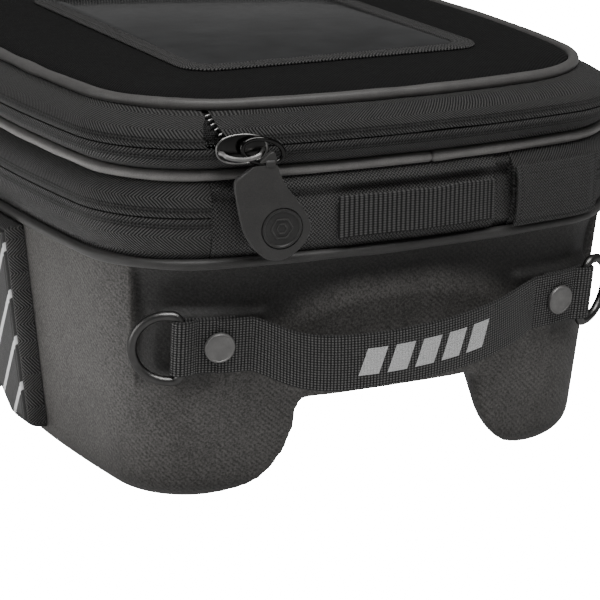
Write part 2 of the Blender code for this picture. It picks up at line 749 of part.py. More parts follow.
def slider(name):
    """A slider's body on the zip: X along the zip, Y out of the bag, with a bridge over its plate."""
    outline = rounded_profile(SLIDER_LENGTH, SLIDER_HEIGHT, PLATE_CORNER)
    plate = prism(name, outline, "Y", -PLATE_OFF - PLATE_THICKNESS, -PLATE_OFF)
    rise = BRIDGE_HEIGHT - BRIDGE_FOOT
    path = []
    for step in range(9):
        turn = math.pi * step / 8
        path.append((-BRIDGE_HALF * math.cos(turn), -BRIDGE_FOOT - rise * math.sin(turn) ** 0.5, 0))
    return plate, tube("bridge", path, BRIDGE_WIRE, 6, False)


def smooth_outline(points, steps=3):
    """A closed curve through the given points (Catmull-Rom)."""
    count = len(points)
    result = []
    for index in range(count):
        before, start, end, after = (Vector(points[(index + shift) % count]) for shift in (-1, 0, 1, 2))
        for step in range(steps):
            t = step / steps
            result.append(0.5 * (2 * start + (end - before) * t
                                 + (2 * before - 5 * start + 4 * end - after) * t ** 2
                                 + (3 * start - before - 3 * end + after) * t ** 3))
    return result


def pull_outline():
    """The rubber pull from its neck: X to the right, Z up, the eye at the origin."""
    points = [(-3.0, -1.5), (-14.5, -6.0), (-16.5, -11.0), (-14.8, -23.0), (-9.0, -36.0), (4.5, -44.0),
              (15.5, -38.0), (18.6, -28.5), (11.0, -15.5), (3.0, -2.0)]
    return smooth_outline([(x * MM, z * MM) for x, z in points])


def pull_parts(bag, slider_frame, link_frame, pull_frame):
    """The lid slider, its link ring, the rubber pull and the button set in the pull."""
    plate, bridge = slider("lid_slider")
    body = bag.add("lid_slider", plate, "black_nickel", slider_frame)
    join(body, bag.add("lid_slider_bridge", bridge, "black_nickel", slider_frame))
    path = []
    for step in range(16):
        turn = 2 * math.pi * step / 16
        x = LINK_CENTRE[0] + LINK_HALF_LENGTH * math.cos(turn) - link_frame.location.x
        z = LINK_CENTRE[1] + LINK_HALF_HEIGHT * math.sin(turn)
        path.append((x, 0, z))
    bag.add("pull_link", tube("link", path, BRIDGE_WIRE, 6, True), "black_nickel", link_frame)
    half = PULL_THICKNESS / 2
    tab = prism("pull", pull_outline(), "Y", -half, half)
    grip = bag.add("pull_tab", tab, "rubber", pull_frame)
    eye = cylinder_along_x("eye", EYE_RADIUS, EYE_LENGTH)
    hole = cylinder_along_x("eye_hole", EYE_HOLE_RADIUS, 4 * EYE_LENGTH)
    rim = BUTTON_RADIUS + GAP
    recess = turned("recess", [(0, PULL_THICKNESS), (rim, PULL_THICKNESS), (rim, 0.0), (0, 0.0)], 20)
    join(grip, bag.add("pull_eye", eye, "rubber", pull_frame))
    cut(grip, bag.add("pull_eye_hole", hole, "rubber", pull_frame))
    turn_out = Matrix.Rotation(math.radians(90), 4, "X")
    place = Matrix.Translation(BUTTON_CENTRE) @ turn_out
    pocket = bag.add("pull_recess", recess, "rubber", pull_frame)
    pocket.matrix_local = Matrix.Translation((0, half - RECESS_DEPTH, 0)) @ place
    cut(grip, pocket)
    face = [(0, BUTTON_THICKNESS), (BUTTON_RADIUS - 0.0012, BUTTON_THICKNESS),
            (BUTTON_RADIUS, BUTTON_THICKNESS - 0.0006), (BUTTON_RADIUS, 0.0), (0, 0.0)]
    button = bag.add("pull_button", turned("button", face, 20), "rubber", pull_frame)
    button.matrix_local = Matrix.Translation((0, half - RECESS_DEPTH - GAP, 0)) @ place


def finish_again(mesh):
    """Point a mirrored mesh's faces out again."""
    work = bmesh.new()
    work.from_mesh(mesh)
    return finish_mesh(mesh.name, work)


def cylinder_along_x(name, radius, length):
    """A cylinder on the X axis."""
    mesh = turned(name, [(0, length / 2), (radius, length / 2), (radius, -length / 2), (0, -length / 2)], 12)
    mesh.transform(Matrix.Rotation(math.radians(90), 4, "Y"))
    return mesh


def expansion_slider(bag, frame):
    """The expansion zip's slider, parked under its cover."""
    outline = rounded_profile(PARKED_LENGTH, PARKED_HEIGHT, PARKED_CORNER, 3)
    plate = prism("plate", outline, "Y", -PLATE_OFF - PARKED_THICKNESS, -PLATE_OFF)
    bag.add("expansion_slider", plate, "black_nickel", frame)


# Side pockets

POCKET_REAR_Y = -0.050
POCKET_FRONT_Y = 0.098
POCKET_LOW_Z = 0.012
POCKET_BELOW_RIM = 0.0045
POCKET_DEPTH = 0.0090
POCKET_OFF_WALL = 0.0005
PANEL_DEPTH = 0.0014
PANEL_MARGIN = 0.003    # border of the pocket left round its stiff panel


def side_heading(y):
    """Heading of a side wall where it crosses y, measured from the middle of the right side."""
    _, end_y = plan_point(90 + SIDE_BOW)
    return math.degrees(math.asin(y / (end_y / math.sin(math.radians(SIDE_BOW)))))


def pocket_slab(name, inner, outer, margin):
    """A slab on the right side wall between two distances off the wall."""
    low = POCKET_LOW_Z + margin
    high = RIM_Z - POCKET_BELOW_RIM - margin
    levels = (low, (low + high) / 2, high)
    section = [(wall_offset(z) + outer, z) for z in levels]
    section += [(wall_offset(z) + inner, z) for z in reversed(levels)]
    ends = (90 + side_heading(POCKET_REAR_Y + margin), 90 + side_heading(POCKET_FRONT_Y - margin))
    return band(name, section, *ends, face_steps=4)


def pockets(bag):
    """A flat bellows pocket on each side: a soft body with a stiff outer panel."""
    beyond = HALF_WIDTH + CORNER
    arch = prism("pocket_arch", side_arch_profile(0.004), "X", -beyond, beyond)
    cutter = bag.add("pocket_arch", arch, "nylon")
    for side, word in ((-1, "left"), (1, "right")):
        for name, finish, inner, outer, margin in (
                ("side_pocket_", "zip_tape", POCKET_OFF_WALL, POCKET_DEPTH, 0.0),
                ("side_pocket_panel_", "pocket_panel", POCKET_DEPTH + GAP, POCKET_DEPTH + PANEL_DEPTH,
                 PANEL_MARGIN)):
            slab = pocket_slab(name, inner, outer, margin)
            if side < 0:
                slab.transform(Matrix.Diagonal((-1, 1, 1, 1)))
                slab = finish_again(slab)
            cut(bag.add(name + word, slab, finish), cutter)


def build():
    clear_scene()
    bag = Bag()
    upper = empty("expansion_axis", bag.frame, (0, -HALF_LENGTH - EXPANSION_BULGE - 0.001, EXPANSION_Z))
    lid_y = HALF_LENGTH + LID_ZIP_BULGE + GAP
    lid = empty("lid_axis", upper, Vector((0, lid_y, LID_ZIP_Z)) - upper.location)
    handle = empty("handle_axis", bag.frame, (0, HANDLE_AXIS_Y, HANDLE_AXIS_Z))
    rings = {}
    for side, word in ((-1, "left"), (1, "right")):
        rings[side] = empty("d_ring_axis_" + word, bag.frame, (0, 0, 0))
        rings[side].matrix_local = wall_frame(side, RING_HEADING, RIVET_Z, BAR_OFF_WALL)
    shell, _ = base(bag)
    pipings(bag, upper, lid)
    expansion_band(bag, upper)
    rear_trim(bag)
    lid_band(bag, upper, lid)
    lid_top(bag, lid)
    handle_and_rings(bag, shell, handle, rings)
    slider_frame = zip_frame("lid_slider_axis", upper, SLIDER_X, LID_ZIP_BULGE, LID_ZIP_Z)
    link_x = LINK_CENTRE[0] - LINK_HALF_LENGTH
    link_frame = empty("pull_link_axis", slider_frame, (link_x, -LINK_OFF, 0))
    pull_z = LINK_CENTRE[1] - LINK_HALF_HEIGHT
    pull_frame = empty("pull_axis", link_frame, (LINK_CENTRE[0] - link_x, 0, pull_z))
    pull_parts(bag, slider_frame, link_frame, pull_frame)
    parked_frame = zip_frame("expansion_slider_axis", bag.frame, PARKED_X, EXPANSION_BULGE, EXPANSION_Z)
    expansion_slider(bag, parked_frame)
    pockets(bag)


def zip_frame(name, parent, x, offset, z):
    """An empty on a zip at the rear face: X along the zip, -Y out of the bag."""
    heading = heading_at(x, offset)
    frame_x, frame_y = plan_point(heading, offset)
    shift = parent.location if parent.name == "expansion_axis" else Vector((0, 0, 0))
    item = empty(name, parent, Vector((frame_x, frame_y, z)) - shift)
    item.rotation_euler = Euler((0, 0, math.radians(heading)))
    return item


build()
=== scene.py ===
import math

import bmesh
import bpy
import numpy as np
from mathutils import Matrix, Vector


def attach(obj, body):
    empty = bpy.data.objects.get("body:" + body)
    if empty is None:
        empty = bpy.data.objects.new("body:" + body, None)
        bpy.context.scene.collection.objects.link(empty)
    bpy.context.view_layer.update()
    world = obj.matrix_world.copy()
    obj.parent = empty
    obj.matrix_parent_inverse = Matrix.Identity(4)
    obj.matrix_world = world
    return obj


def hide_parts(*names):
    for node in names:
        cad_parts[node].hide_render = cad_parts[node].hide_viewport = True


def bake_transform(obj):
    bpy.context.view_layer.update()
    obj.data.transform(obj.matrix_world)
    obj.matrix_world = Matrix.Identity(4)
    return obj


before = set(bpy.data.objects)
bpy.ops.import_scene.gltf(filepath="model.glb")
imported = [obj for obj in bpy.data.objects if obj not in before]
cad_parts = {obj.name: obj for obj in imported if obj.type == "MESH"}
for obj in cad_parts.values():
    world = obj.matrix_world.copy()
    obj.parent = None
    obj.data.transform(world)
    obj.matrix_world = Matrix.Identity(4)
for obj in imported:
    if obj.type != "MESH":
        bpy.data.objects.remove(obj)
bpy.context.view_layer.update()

MM = 0.001

# Plan of the bag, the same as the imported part's. Offsets and heights are in metres, headings in degrees.
HALF_WIDTH = 0.141
HALF_LENGTH = 0.165
CORNER = 0.053
END_BOW = 9.3
SIDE_BOW = 7.0
CENTRE_Y = 0.0050
RIM_Z = 0.117
EXPANSION_Z = 0.139
MID_Z = 0.1567
LID_ZIP_Z = 0.170
TOP_Z = 0.1857
CROWN_Z = 0.1905
MID_OFFSET = -0.002
TOP_OFFSET = -0.0098
TOP_CORNER = 0.063
DRAFT = math.tan(math.radians(6))
WALL = 0.004
FOOT_RADIUS = 0.013
SADDLE_HALF_WIDTH = 0.048
SADDLE_HEIGHT = 0.047
SADDLE_CORNER = 0.004
FLARE_WIDTH = 0.042
SPREAD_START = 0.146      # distance from the bag's middle where the tunnel starts to widen
SPREAD_SLOPE = 0.47
SIDE_ARCH_HALF_LENGTH = 0.043
SIDE_ARCH_HEIGHT = 0.030
PIPING_RADIUS = 0.0024
RIVET_Z = 0.079
RIVET_X = 0.0885
WEB_WIDTH = 0.0254
WEB_THICKNESS = 0.0016
PANEL_LEFT = -12.7
GARAGE_LEFT = 5.7
GARAGE_RIGHT = 26.6
PANEL_EDGE = 4.9          # heading where the rear cloth steps in, short of the slider's cover
PANEL_END = 6.2           # heading where it ends, behind the cover
EXPANSION_BULGE = 0.0044   # how far each zip stands out over the lower piping
LID_BULGE = 0.0048
TAPE_THICKNESS = 1.5 * MM
COIL_DEPTH = 2.2 * MM     # the coils' middle behind the tapes' face
COIL_HALF_GAP = 1.4 * MM
CORD_CLEARANCE = 2.2 * MM  # from a piping's middle to the cloth sewn to it
HINGE_FIRST = 160         # headings between which the lid's hinge cloth runs
HINGE_LAST = 200
TOP_EXTRA = TOP_CORNER - TOP_OFFSET
REAR_BEND_START = (0, 0, RIM_Z + 9 * MM)      # the rear cloths bend between these two places
REAR_BEND_END = (0, 0, MID_Z - 5 * MM)


# ---------------------------------------------------------------- outline

def plan(heading, offset=0.0, extra=CORNER):
    """World x and y, `offset` outside the lower piping, where the outward normal has this heading."""
    turned = np.radians(np.asarray(heading, float))
    offset = np.asarray(offset, float)
    radius = extra + offset
    half_width = HALF_WIDTH + offset
    half_length = HALF_LENGTH + offset
    end_bow = math.radians(END_BOW)
    side_bow = math.radians(SIDE_BOW)
    end_rise = math.tan(end_bow / 2)
    side_rise = math.tan(side_bow / 2)
    centre_x = (half_width - radius - (half_length - radius) * side_rise) / (1 - end_rise * side_rise)
    centre_y = half_length - radius - centre_x * end_rise
    normal_x = np.sin(turned)
    normal_y = -np.cos(turned)
    turn = np.arctan2(abs(normal_x), abs(normal_y))
    end_radius = centre_x / math.sin(end_bow) + radius
    side_radius = centre_y / math.sin(side_bow) + radius
    on_end = turn <= end_bow
    on_side = turn >= math.pi / 2 - side_bow
    x = np.where(on_end, end_radius * np.sin(turn),
                 np.where(on_side, half_width - side_radius * (1 - np.sin(turn)),
                          centre_x + radius * np.sin(turn)))
    y = np.where(on_end, half_length - end_radius * (1 - np.cos(turn)),
                 np.where(on_side, side_radius * np.cos(turn), centre_y + radius * np.cos(turn)))
    return np.copysign(x, normal_x), np.copysign(y, normal_y) + CENTRE_Y


def point_at(heading, offset=0.0):
    """x and y of one place on the outline."""
    x, y = plan(heading, offset)
    return float(x), float(y)


TURNS = np.linspace(-360, 720, 21601)
_x, _y = plan(TURNS)
ARC = np.concatenate([[0], np.cumsum(np.hypot(np.diff(_x), np.diff(_y)))])
ARC -= np.interp(0, TURNS, ARC)
ROUND = np.interp(360, TURNS, ARC)


def along(heading):
    """Distance round the bag from the middle of the rear face to this heading."""
    return np.interp(heading, TURNS, ARC)


def heading_along(distance):
    return np.interp(distance, ARC, TURNS)


def rear_heading(x, offset=0.0):
    """Heading of the rear face where it crosses x."""
    headings = np.linspace(-60, 60, 2401)
    return float(np.interp(x, plan(headings, offset)[0], headings))


def wall_offset(z):
    return -(RIM_Z - z) * DRAFT


def smoothstep(value, low, high):
    t = np.clip((np.asarray(value, float) - low) / (high - low), 0, 1)
    return t * t * (3 - 2 * t)


def hump(value, middle, width):
    """A smooth hump of height 1 at the middle."""
    return np.exp(-((value - middle) / width) ** 2)


def ripple(u, v, wavelength, seed, count=7):
    """Gentle unevenness of sewn cloth between about -1 and 1; it closes on itself round the bag."""
    random = np.random.default_rng(seed)
    total = np.zeros(np.broadcast(u, v).shape)
    for _ in range(count):
        turns = max(1, round(ROUND / (wavelength * random.uniform(0.7, 1.6))))
        slant = random.uniform(-1, 1) * 2 * math.pi / wavelength * 0.6
        total = total + np.sin(2 * math.pi * turns * u / ROUND + slant * v + random.uniform(0, 6.28))
    return total / math.sqrt(count)


# ---------------------------------------------------------------- meshes

def catmull(before, start, end, after, t):
    """The point a share t of the way from start to end, on a smooth curve through all four points."""
    return 0.5 * (2 * start + (end - before) * t + (2 * before - 5 * start + 4 * end - after) * t ** 2
                  + (3 * start - before - 3 * end + after) * t ** 3)


def distances(points):
    """Distance along a line of points, 0 at the first one."""
    return np.concatenate([[0], np.cumsum(np.linalg.norm(np.diff(points, axis=0), axis=1))])


def smooth_path(points, spacing):
    """Catmull-Rom curve through points, with its own points evenly spaced."""
    points = np.array(points, float)
    padded = np.vstack([2 * points[0] - points[1], points, 2 * points[-1] - points[-2]])
    fine = [catmull(*padded[index - 1:index + 3], t) for index in range(1, len(padded) - 2)
            for t in np.linspace(0, 1, 24, endpoint=False)]
    fine = np.array(fine + [padded[-2]])
    length = distances(fine[:, :2])
    even = np.linspace(0, length[-1], max(2, round(length[-1] / spacing)) + 1)
    return np.stack([np.interp(even, length, fine[:, k]) for k in range(fine.shape[1])], 1)


def closed_curve(points, steps=8):
    """Catmull-Rom curve round a closed list of points."""
    points = np.array(points, float)
    return np.array([catmull(*(points[(index + shift) % len(points)] for shift in (-1, 0, 1, 2)), t)
                     for index in range(len(points)) for t in np.linspace(0, 1, steps, endpoint=False)])


def make(name, mesh, look=None, sharp=40):
    item = bpy.data.objects.new(name, mesh)
    bpy.context.scene.collection.objects.link(item)
    mesh.shade_smooth()
    if sharp:
        mesh.set_sharp_from_angle(angle=math.radians(sharp))
    if look is not None:
        mesh.materials.clear()
        mesh.materials.append(look)
    return item


def crisp(item, angle):
    """Shade an object smooth, with hard edges where it turns by more than this angle."""
    item.data.shade_smooth()
    item.data.set_sharp_from_angle(angle=math.radians(angle))
    return item


def coordinates(mesh):
    co = np.zeros(len(mesh.vertices) * 3)
    mesh.vertices.foreach_get("co", co)
    return co.reshape(-1, 3)


def outward(mesh):
    work = bmesh.new()
    work.from_mesh(mesh)
    bmesh.ops.recalc_face_normals(work, faces=work.faces[:])
    work.to_mesh(mesh)
    work.free()
    return mesh


def surface(name, points, u, v, wrap_u=False, wrap_v=False, caps=False):
    """Mesh over a grid of points (nu, nv, 3) with u and v as its UV map, in metres."""
    nu, nv = points.shape[:2]
    columns = nu if wrap_u else nu - 1
    rows = nv if wrap_v else nv - 1
    i, j = (grid.ravel() for grid in np.meshgrid(np.arange(columns), np.arange(rows), indexing="ij"))
    i2 = (i + 1) % nu
    j2 = (j + 1) % nv
    quads = np.stack([i * nv + j, i2 * nv + j, i2 * nv + j2, i * nv + j2], 1)
    faces = quads.tolist()
    if caps:
        faces.append(list(range(nv)))
        faces.append(list(range((nu - 1) * nv, nu * nv)))
    mesh = bpy.data.meshes.new(name)
    mesh.from_pydata(points.reshape(-1, 3).tolist(), [], faces)
    loops = np.stack([np.stack([grid[a, b] for grid in (u, v)], -1)
                      for a, b in ((i, j), (i + 1, j), (i + 1, j + 1), (i, j + 1))], 1).reshape(-1, 2)
    if caps:
        ends = [np.stack([u[row, :nv], v[row, :nv]], -1) for row in (0, nu - 1)]
        loops = np.vstack([loops] + ends)
    layer = mesh.uv_layers.new(name="UVMap")
    layer.data.foreach_set("uv", loops.astype(np.float32).ravel())
    mesh.update()
    return outward(mesh)


def outer_length(points, spacing):
    """Length of a section's outer side once it is smoothed."""
    points = [(*point, CORNER) if len(point) == 2 else point for point in points]
    return distances(smooth_path(points, spacing)[:, :2])[-1]


def cushion(outer, thickness, spacing=0.8 * MM):
    """Closed section of a sheet from its outer side: (offset, z, extra) points, and their place along it."""
    path = smooth_path([(*point, CORNER) if len(point) == 2 else point for point in outer], spacing)
    tangent = np.gradient(path[:, :2], axis=0)
    tangent /= np.linalg.norm(tangent, axis=1)[:, None]
    inward = np.stack([-tangent[:, 1], tangent[:, 0]], 1)
    inner = path.copy()
    inner[:, :2] += inward * thickness
    v = distances(path[:, :2])
    bead = thickness * 0.12
    path[0, :2] += inward[0] * bead * 0.5
    path[-1, :2] += inward[-1] * bead * 0.5
    caps = []
    for end, sign in ((-1, 1), (0, -1)):
        middle = (path[end] + inner[end]) / 2
        middle[:2] += tangent[end] * sign * bead
        caps.append(middle[None, :])
    ring = np.vstack([path, caps[0], inner[::-1], caps[1]])
    return ring, np.concatenate([v, [v[-1] + bead], v[::-1], [-bead]])


def sweep(name, section, v, look, first=None, last=None, step=1.3 * MM, relief=None, zip_edge=None,
          shear=None):
    """A closed section carried round the bag."""
    whole = first is None
    start, stop = (-ROUND / 2, ROUND / 2) if whole else (along(first), along(last))
    count = max(4, round((stop - start) / step))
    u_line = np.linspace(start, stop, count + 1)
    v_line = np.asarray(v, float)
    u, vv = np.meshgrid(u_line, v_line, indexing="ij")
    place = u.copy()
    if shear is not None:
        place = shear(u, vv, start, stop)
    offset = np.broadcast_to(section[:, 0], u.shape).copy()
    z = np.broadcast_to(section[:, 1], u.shape).copy()
    extra = np.broadcast_to(section[:, 2], u.shape)
    if relief is not None:
        change_offset, change_z = relief(place, vv)
        offset = offset + change_offset
        z = z + change_z
    x, y = plan(heading_along(place), offset, extra)
    points = np.stack([x, y, z], -1)
    uv_v = vv if zip_edge is None else zip_edge - vv
    uv_u = place
    if whole:
        points = points[:-1]
    uv_u = np.hstack([uv_u, uv_u[:, :1]])
    uv_v = np.hstack([uv_v, uv_v[:, :1]])
    return make(name, surface(name, points, uv_u, uv_v, whole, True, not whole), look)


def ribbon(name, rows, thickness, look, u=None, v=None):
    """A strip of even thickness round a surface of points (n, m, 3)."""
    du = np.gradient(rows, axis=0)
    dv = np.gradient(rows, axis=1)
    normal = np.cross(du, dv)
    normal /= np.linalg.norm(normal, axis=2)[..., None]
    outer = rows + normal * thickness / 2
    inner = rows - normal * thickness / 2
    across = dv / np.linalg.norm(dv, axis=2)[..., None]
    high = rows[:, -1:] + across[:, -1:] * thickness * 0.32
    low = rows[:, :1] - across[:, :1] * thickness * 0.32
    trim = thickness * 0.3
    for side in (outer, inner):
        side[:, -1] -= across[:, -1] * trim * 0.2
        side[:, 0] += across[:, 0] * trim * 0.2
    ring = np.concatenate([outer, high, inner[:, ::-1], low], 1)
    if u is None:
        u = distances(rows[:, rows.shape[1] // 2])
    if v is None:
        v = distances(rows[0])
    v_ring = np.concatenate([v, [v[-1]], v[::-1], [v[0]], [v[0]]])
    uu, vv = np.meshgrid(u, v_ring, indexing="ij")
    return make(name, surface(name, ring, uu, vv, False, True, True), look)


def tube(name, path, radius, look, sides=16, closed=True, flat=None):
    """A round wire along points, with UV along and round it."""
    path = np.array(path, float)
    n = len(path)
    if closed:
        tangent = np.roll(path, -1, 0) - np.roll(path, 1, 0)
    else:
        tangent = np.gradient(path, axis=0)
    tangent /= np.linalg.norm(tangent, axis=1)[:, None]
    if flat is None:
        flat = np.cross(tangent[0], tangent[n // 3])
    flat = np.array(flat, float) / np.linalg.norm(flat)
    side = np.cross(tangent, flat)
    side /= np.linalg.norm(side, axis=1)[:, None]
    up = np.cross(side, tangent)
    turn = np.linspace(0, 2 * math.pi, sides, endpoint=False)
    radius = np.broadcast_to(np.asarray(radius, float), (n,))[:, None, None]
    points = path[:, None] + radius * (np.cos(turn)[None, :, None] * side[:, None]
                                       + np.sin(turn)[None, :, None] * up[:, None])
    length = distances(np.vstack([path, path[:1]]))
    u = length if closed else length[:n]
    v = np.linspace(0, 2 * math.pi, sides + 1) * float(radius.mean())
    uu, vv = np.meshgrid(u, v, indexing="ij")
    return make(name, surface(name, points, uu, vv, closed, True, not closed), look)


def turned(name, profile, look, sides=48):
    """Turn a profile of (radius, height) about Z, with both ends on the axis."""
    work = bmesh.new()
    rings = []
    for radius, height in profile:
        turns = [2 * math.pi * k / sides for k in range(sides if radius else 1)]
        rings.append([work.verts.new((radius * math.cos(turn), radius * math.sin(turn), height))
                      for turn in turns])
    for lower, upper in zip(rings, rings[1:]):
        for k in range(sides):
            after = (k + 1) % sides
            corners = [lower[k % len(lower)], lower[after % len(lower)], upper[after % len(upper)],
                       upper[k % len(upper)]]
            work.faces.new(list(dict.fromkeys(corners)))
    bmesh.ops.recalc_face_normals(work, faces=work.faces[:])
    mesh = bpy.data.meshes.new(name)
    work.to_mesh(mesh)
    work.free()
    return make(name, mesh, look, 30)


def lofted(name, rings, look=None, sharp=0):
    """Closed body through rings with the same number of points."""
    count = len(rings[0])
    points = np.vstack(rings)
    faces = [list(range(count)), list(range(len(points) - count, len(points)))]
    for low in range(0, len(points) - count, count):
        faces += [(low + k, low + (k + 1) % count, low + count + (k + 1) % count, low + count + k)
                  for k in range(count)]
    mesh = bpy.data.meshes.new(name)
    mesh.from_pydata(points.tolist(), [], faces)
    return make(name, outward(mesh), look, sharp)


def plate(name, outline, low, high, look, bevel, segments=3):
    """A flat plate from an (x, z) outline, between two depths along Y, with rounded edges."""
    work = bmesh.new()
    layers = [[work.verts.new((x, y, z)) for x, z in outline] for y in (low, high)]
    count = len(outline)
    work.faces.new(layers[0])
    work.faces.new(layers[1][::-1])
    for k in range(count):
        after = (k + 1) % count
        work.faces.new((layers[0][k], layers[0][after], layers[1][after], layers[1][k]))
    bmesh.ops.recalc_face_normals(work, faces=work.faces[:])
    mesh = bpy.data.meshes.new(name)
    work.to_mesh(mesh)
    work.free()
    item = make(name, mesh, look, 0)
    modifier = item.modifiers.new("edge", "BEVEL")
    modifier.width = bevel
    modifier.segments = segments
    modifier.limit_method = "ANGLE"
    modifier.angle_limit = math.radians(50)
    settle(item)
    return crisp(item, 38)


def rounded(width, length, corner, steps=10):
    points = []
    for quarter in range(4):
        centre_x = (width / 2 - corner) * (1 if quarter in (0, 3) else -1)
        centre_y = (length / 2 - corner) * (1 if quarter in (0, 1) else -1)
        for step in range(steps + 1):
            turn = math.pi / 2 * (quarter + step / steps)
            points.append((centre_x + corner * math.cos(turn), centre_y + corner * math.sin(turn)))
    return points


def settle(item):
    """Make an object's modifiers part of its mesh."""
    bpy.context.view_layer.update()
    depsgraph = bpy.context.evaluated_depsgraph_get()
    mesh = bpy.data.meshes.new_from_object(item.evaluated_get(depsgraph))
    item.modifiers.clear()
    item.data = mesh
    return item


def combine(item, tool, operation="DIFFERENCE"):
    modifier = item.modifiers.new("cut", "BOOLEAN")
    modifier.operation = operation
    modifier.solver = "EXACT"
    modifier.object = tool
    settle(item)
    bpy.data.objects.remove(tool, do_unlink=True)
    return item


def merge(name, pieces):
    """One object from several that share a place."""
    work = bmesh.new()
    materials = []
    for piece in pieces:
        mesh = piece.data.copy()
        mesh.transform(piece.matrix_world)
        shift = {}
        for index, material in enumerate(mesh.materials):
            if material not in materials:
                materials.append(material)
            shift[index] = materials.index(material)
        for polygon in mesh.polygons:
            polygon.material_index = shift.get(polygon.material_index, 0)
        work.from_mesh(mesh)
    mesh = bpy.data.meshes.new(name)
    work.to_mesh(mesh)
    work.free()
    for piece in pieces:
        bpy.data.objects.remove(piece, do_unlink=True)
    item = bpy.data.objects.new(name, mesh)
    bpy.context.scene.collection.objects.link(item)
    for material in materials:
        mesh.materials.append(material)
    return item


def place(item, matrix):
    item.data.transform(matrix)
    item.data.update()
    return item


def run(first, last, offset=0.0):
    """Length round the bag between two headings, at an offset from its outline."""
    return float(along(last) - along(first)) + offset * math.radians(last - first)


def cloth(item, length, held, *rests_on):
    """Work out a strip of cloth's width from this cut length and what its two sides' area leaves; the width is
    not kept.
    """
    area = sum(polygon.area for polygon in item.data.polygons) / 2
    round(area / length, 4)
    return item


def install(item, body, slot, *nodes):
    """Hand a finished piece to its body in place of CAD nodes."""
    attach(item, body)
    if nodes:
        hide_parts(*nodes)
    return item


def hinge_cloth(item, low, high, start, end, slot, *nodes):
    """Bake a finished cloth's place into its mesh and hide the CAD nodes it stands in for; it is not handed to
    either of the two bodies it spans.
    """
    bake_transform(item)
    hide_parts(*nodes)
    return item


# ---------------------------------------------------------------- materials

class Field:
    """A number carried by a node socket, so that patterns can be written as sums."""

    def __init__(self, look, socket):
        self.look = look
        self.socket = socket

    def __add__(self, other):
        return self.look.math("ADD", self, other)

    def __sub__(self, other):
        return self.look.math("SUBTRACT", self, other)

    def __mul__(self, other):
        return self.look.math("MULTIPLY", self, other)

    def __truediv__(self, other):
        return self.look.math("DIVIDE", self, other)

    def sine(self, period):
        """A wave from 0 to 1 with this period."""
        return self.look.math("SINE", self * (2 * math.pi / period)) * 0.5 + 0.5

    def fraction(self):
        return self.look.math("FRACT", self)

    def floor(self):
        return self.look.math("FLOOR", self)

    def absolute(self):
        return self.look.math("ABSOLUTE", self)

    def above(self, limit):
        return self.look.math("GREATER_THAN", self, limit)

    def below(self, limit):
        return self.look.math("LESS_THAN", self, limit)

    def power(self, exponent):
        return self.look.math("POWER", self, exponent)

    def zigzag(self, width):
        return self.look.math("PINGPONG", self, width)

    def ramp(self, low, high):
        """0 below low, 1 above high, smooth between."""
        node = self.look.node("ShaderNodeMapRange", interpolation_type="SMOOTHSTEP")
        self.look.wire(self, node.inputs["Value"])
        node.inputs["From Min"].default_value = low
        node.inputs["From Max"].default_value = high
        return Field(self.look, node.outputs["Result"])

    def band(self, low, high, soft):
        return self.ramp(low - soft, low + soft) * (self.ramp(high - soft, high + soft) * -1 + 1)


class Look:
    """A procedural Principled material."""

    def __init__(self, name, metallic=0.0, sheen=0.0, coat=0.0, specular=0.5, uv=True):
        self.material = bpy.data.materials.new(name)
        self.material.use_nodes = True
        self.tree = self.material.node_tree
        self.shader = self.tree.nodes["Principled BSDF"]
        self.shader.inputs["Metallic"].default_value = metallic
        self.shader.inputs["Specular IOR Level"].default_value = specular
        self.shader.inputs["Sheen Weight"].default_value = sheen
        self.shader.inputs["Sheen Roughness"].default_value = 0.45
        self.shader.inputs["Coat Weight"].default_value = coat
        self.place = self.node("ShaderNodeTexCoord").outputs["Object"]
        if uv:
            split = self.node("ShaderNodeSeparateXYZ")
            self.tree.links.new(self.node("ShaderNodeUVMap").outputs["UV"], split.inputs[0])
        else:
            split = self.node("ShaderNodeSeparateXYZ")
            self.tree.links.new(self.place, split.inputs[0])
        self.u = Field(self, split.outputs["X"])
        self.v = Field(self, split.outputs["Y"])
        self.w = Field(self, split.outputs["Z"])

    def node(self, kind, **settings):
        made = self.tree.nodes.new(kind)
        for key, value in settings.items():
            setattr(made, key, value)
        return made

    def wire(self, value, socket):
        if isinstance(value, Field):
            self.tree.links.new(value.socket, socket)
        else:
            socket.default_value = value

    def math(self, operation, *values):
        node = self.node("ShaderNodeMath", operation=operation)
        for value, socket in zip(values, node.inputs):
            self.wire(value, socket)
        return Field(self, node.outputs[0])

    def noise(self, scale, detail=3.0, roughness=0.55):
        node = self.node("ShaderNodeTexNoise")
        self.tree.links.new(self.place, node.inputs["Vector"])
        node.inputs["Scale"].default_value = scale
        node.inputs["Detail"].default_value = detail
        node.inputs["Roughness"].default_value = roughness
        return Field(self, node.outputs["Fac"])

    def mix(self, factor, first, second):
        node = self.node("ShaderNodeMix", data_type="RGBA", clamp_factor=True)
        self.wire(factor, node.inputs[0])
        for value, socket in ((first, node.inputs[6]), (second, node.inputs[7])):
            if isinstance(value, Field):
                self.wire(value, socket)
            else:
                socket.default_value = (*value, 1)
        return Field(self, node.outputs[2])

    def finish(self, colour, roughness, height=None, depth=0.0, strength=1.0):
        self.wire(colour, self.shader.inputs["Base Color"])
        self.wire(roughness, self.shader.inputs["Roughness"])
        if height is not None:
            bump = self.node("ShaderNodeBump")
            bump.inputs["Distance"].default_value = depth
            bump.inputs["Strength"].default_value = strength
            self.wire(height, bump.inputs["Height"])
            self.tree.links.new(bump.outputs["Normal"], self.shader.inputs["Normal"])
        return self.material


def grey(value, warm=0.02):
    """Linear colour of a warm grey."""
    return (value * (1 + warm), value, value * (1 - warm))


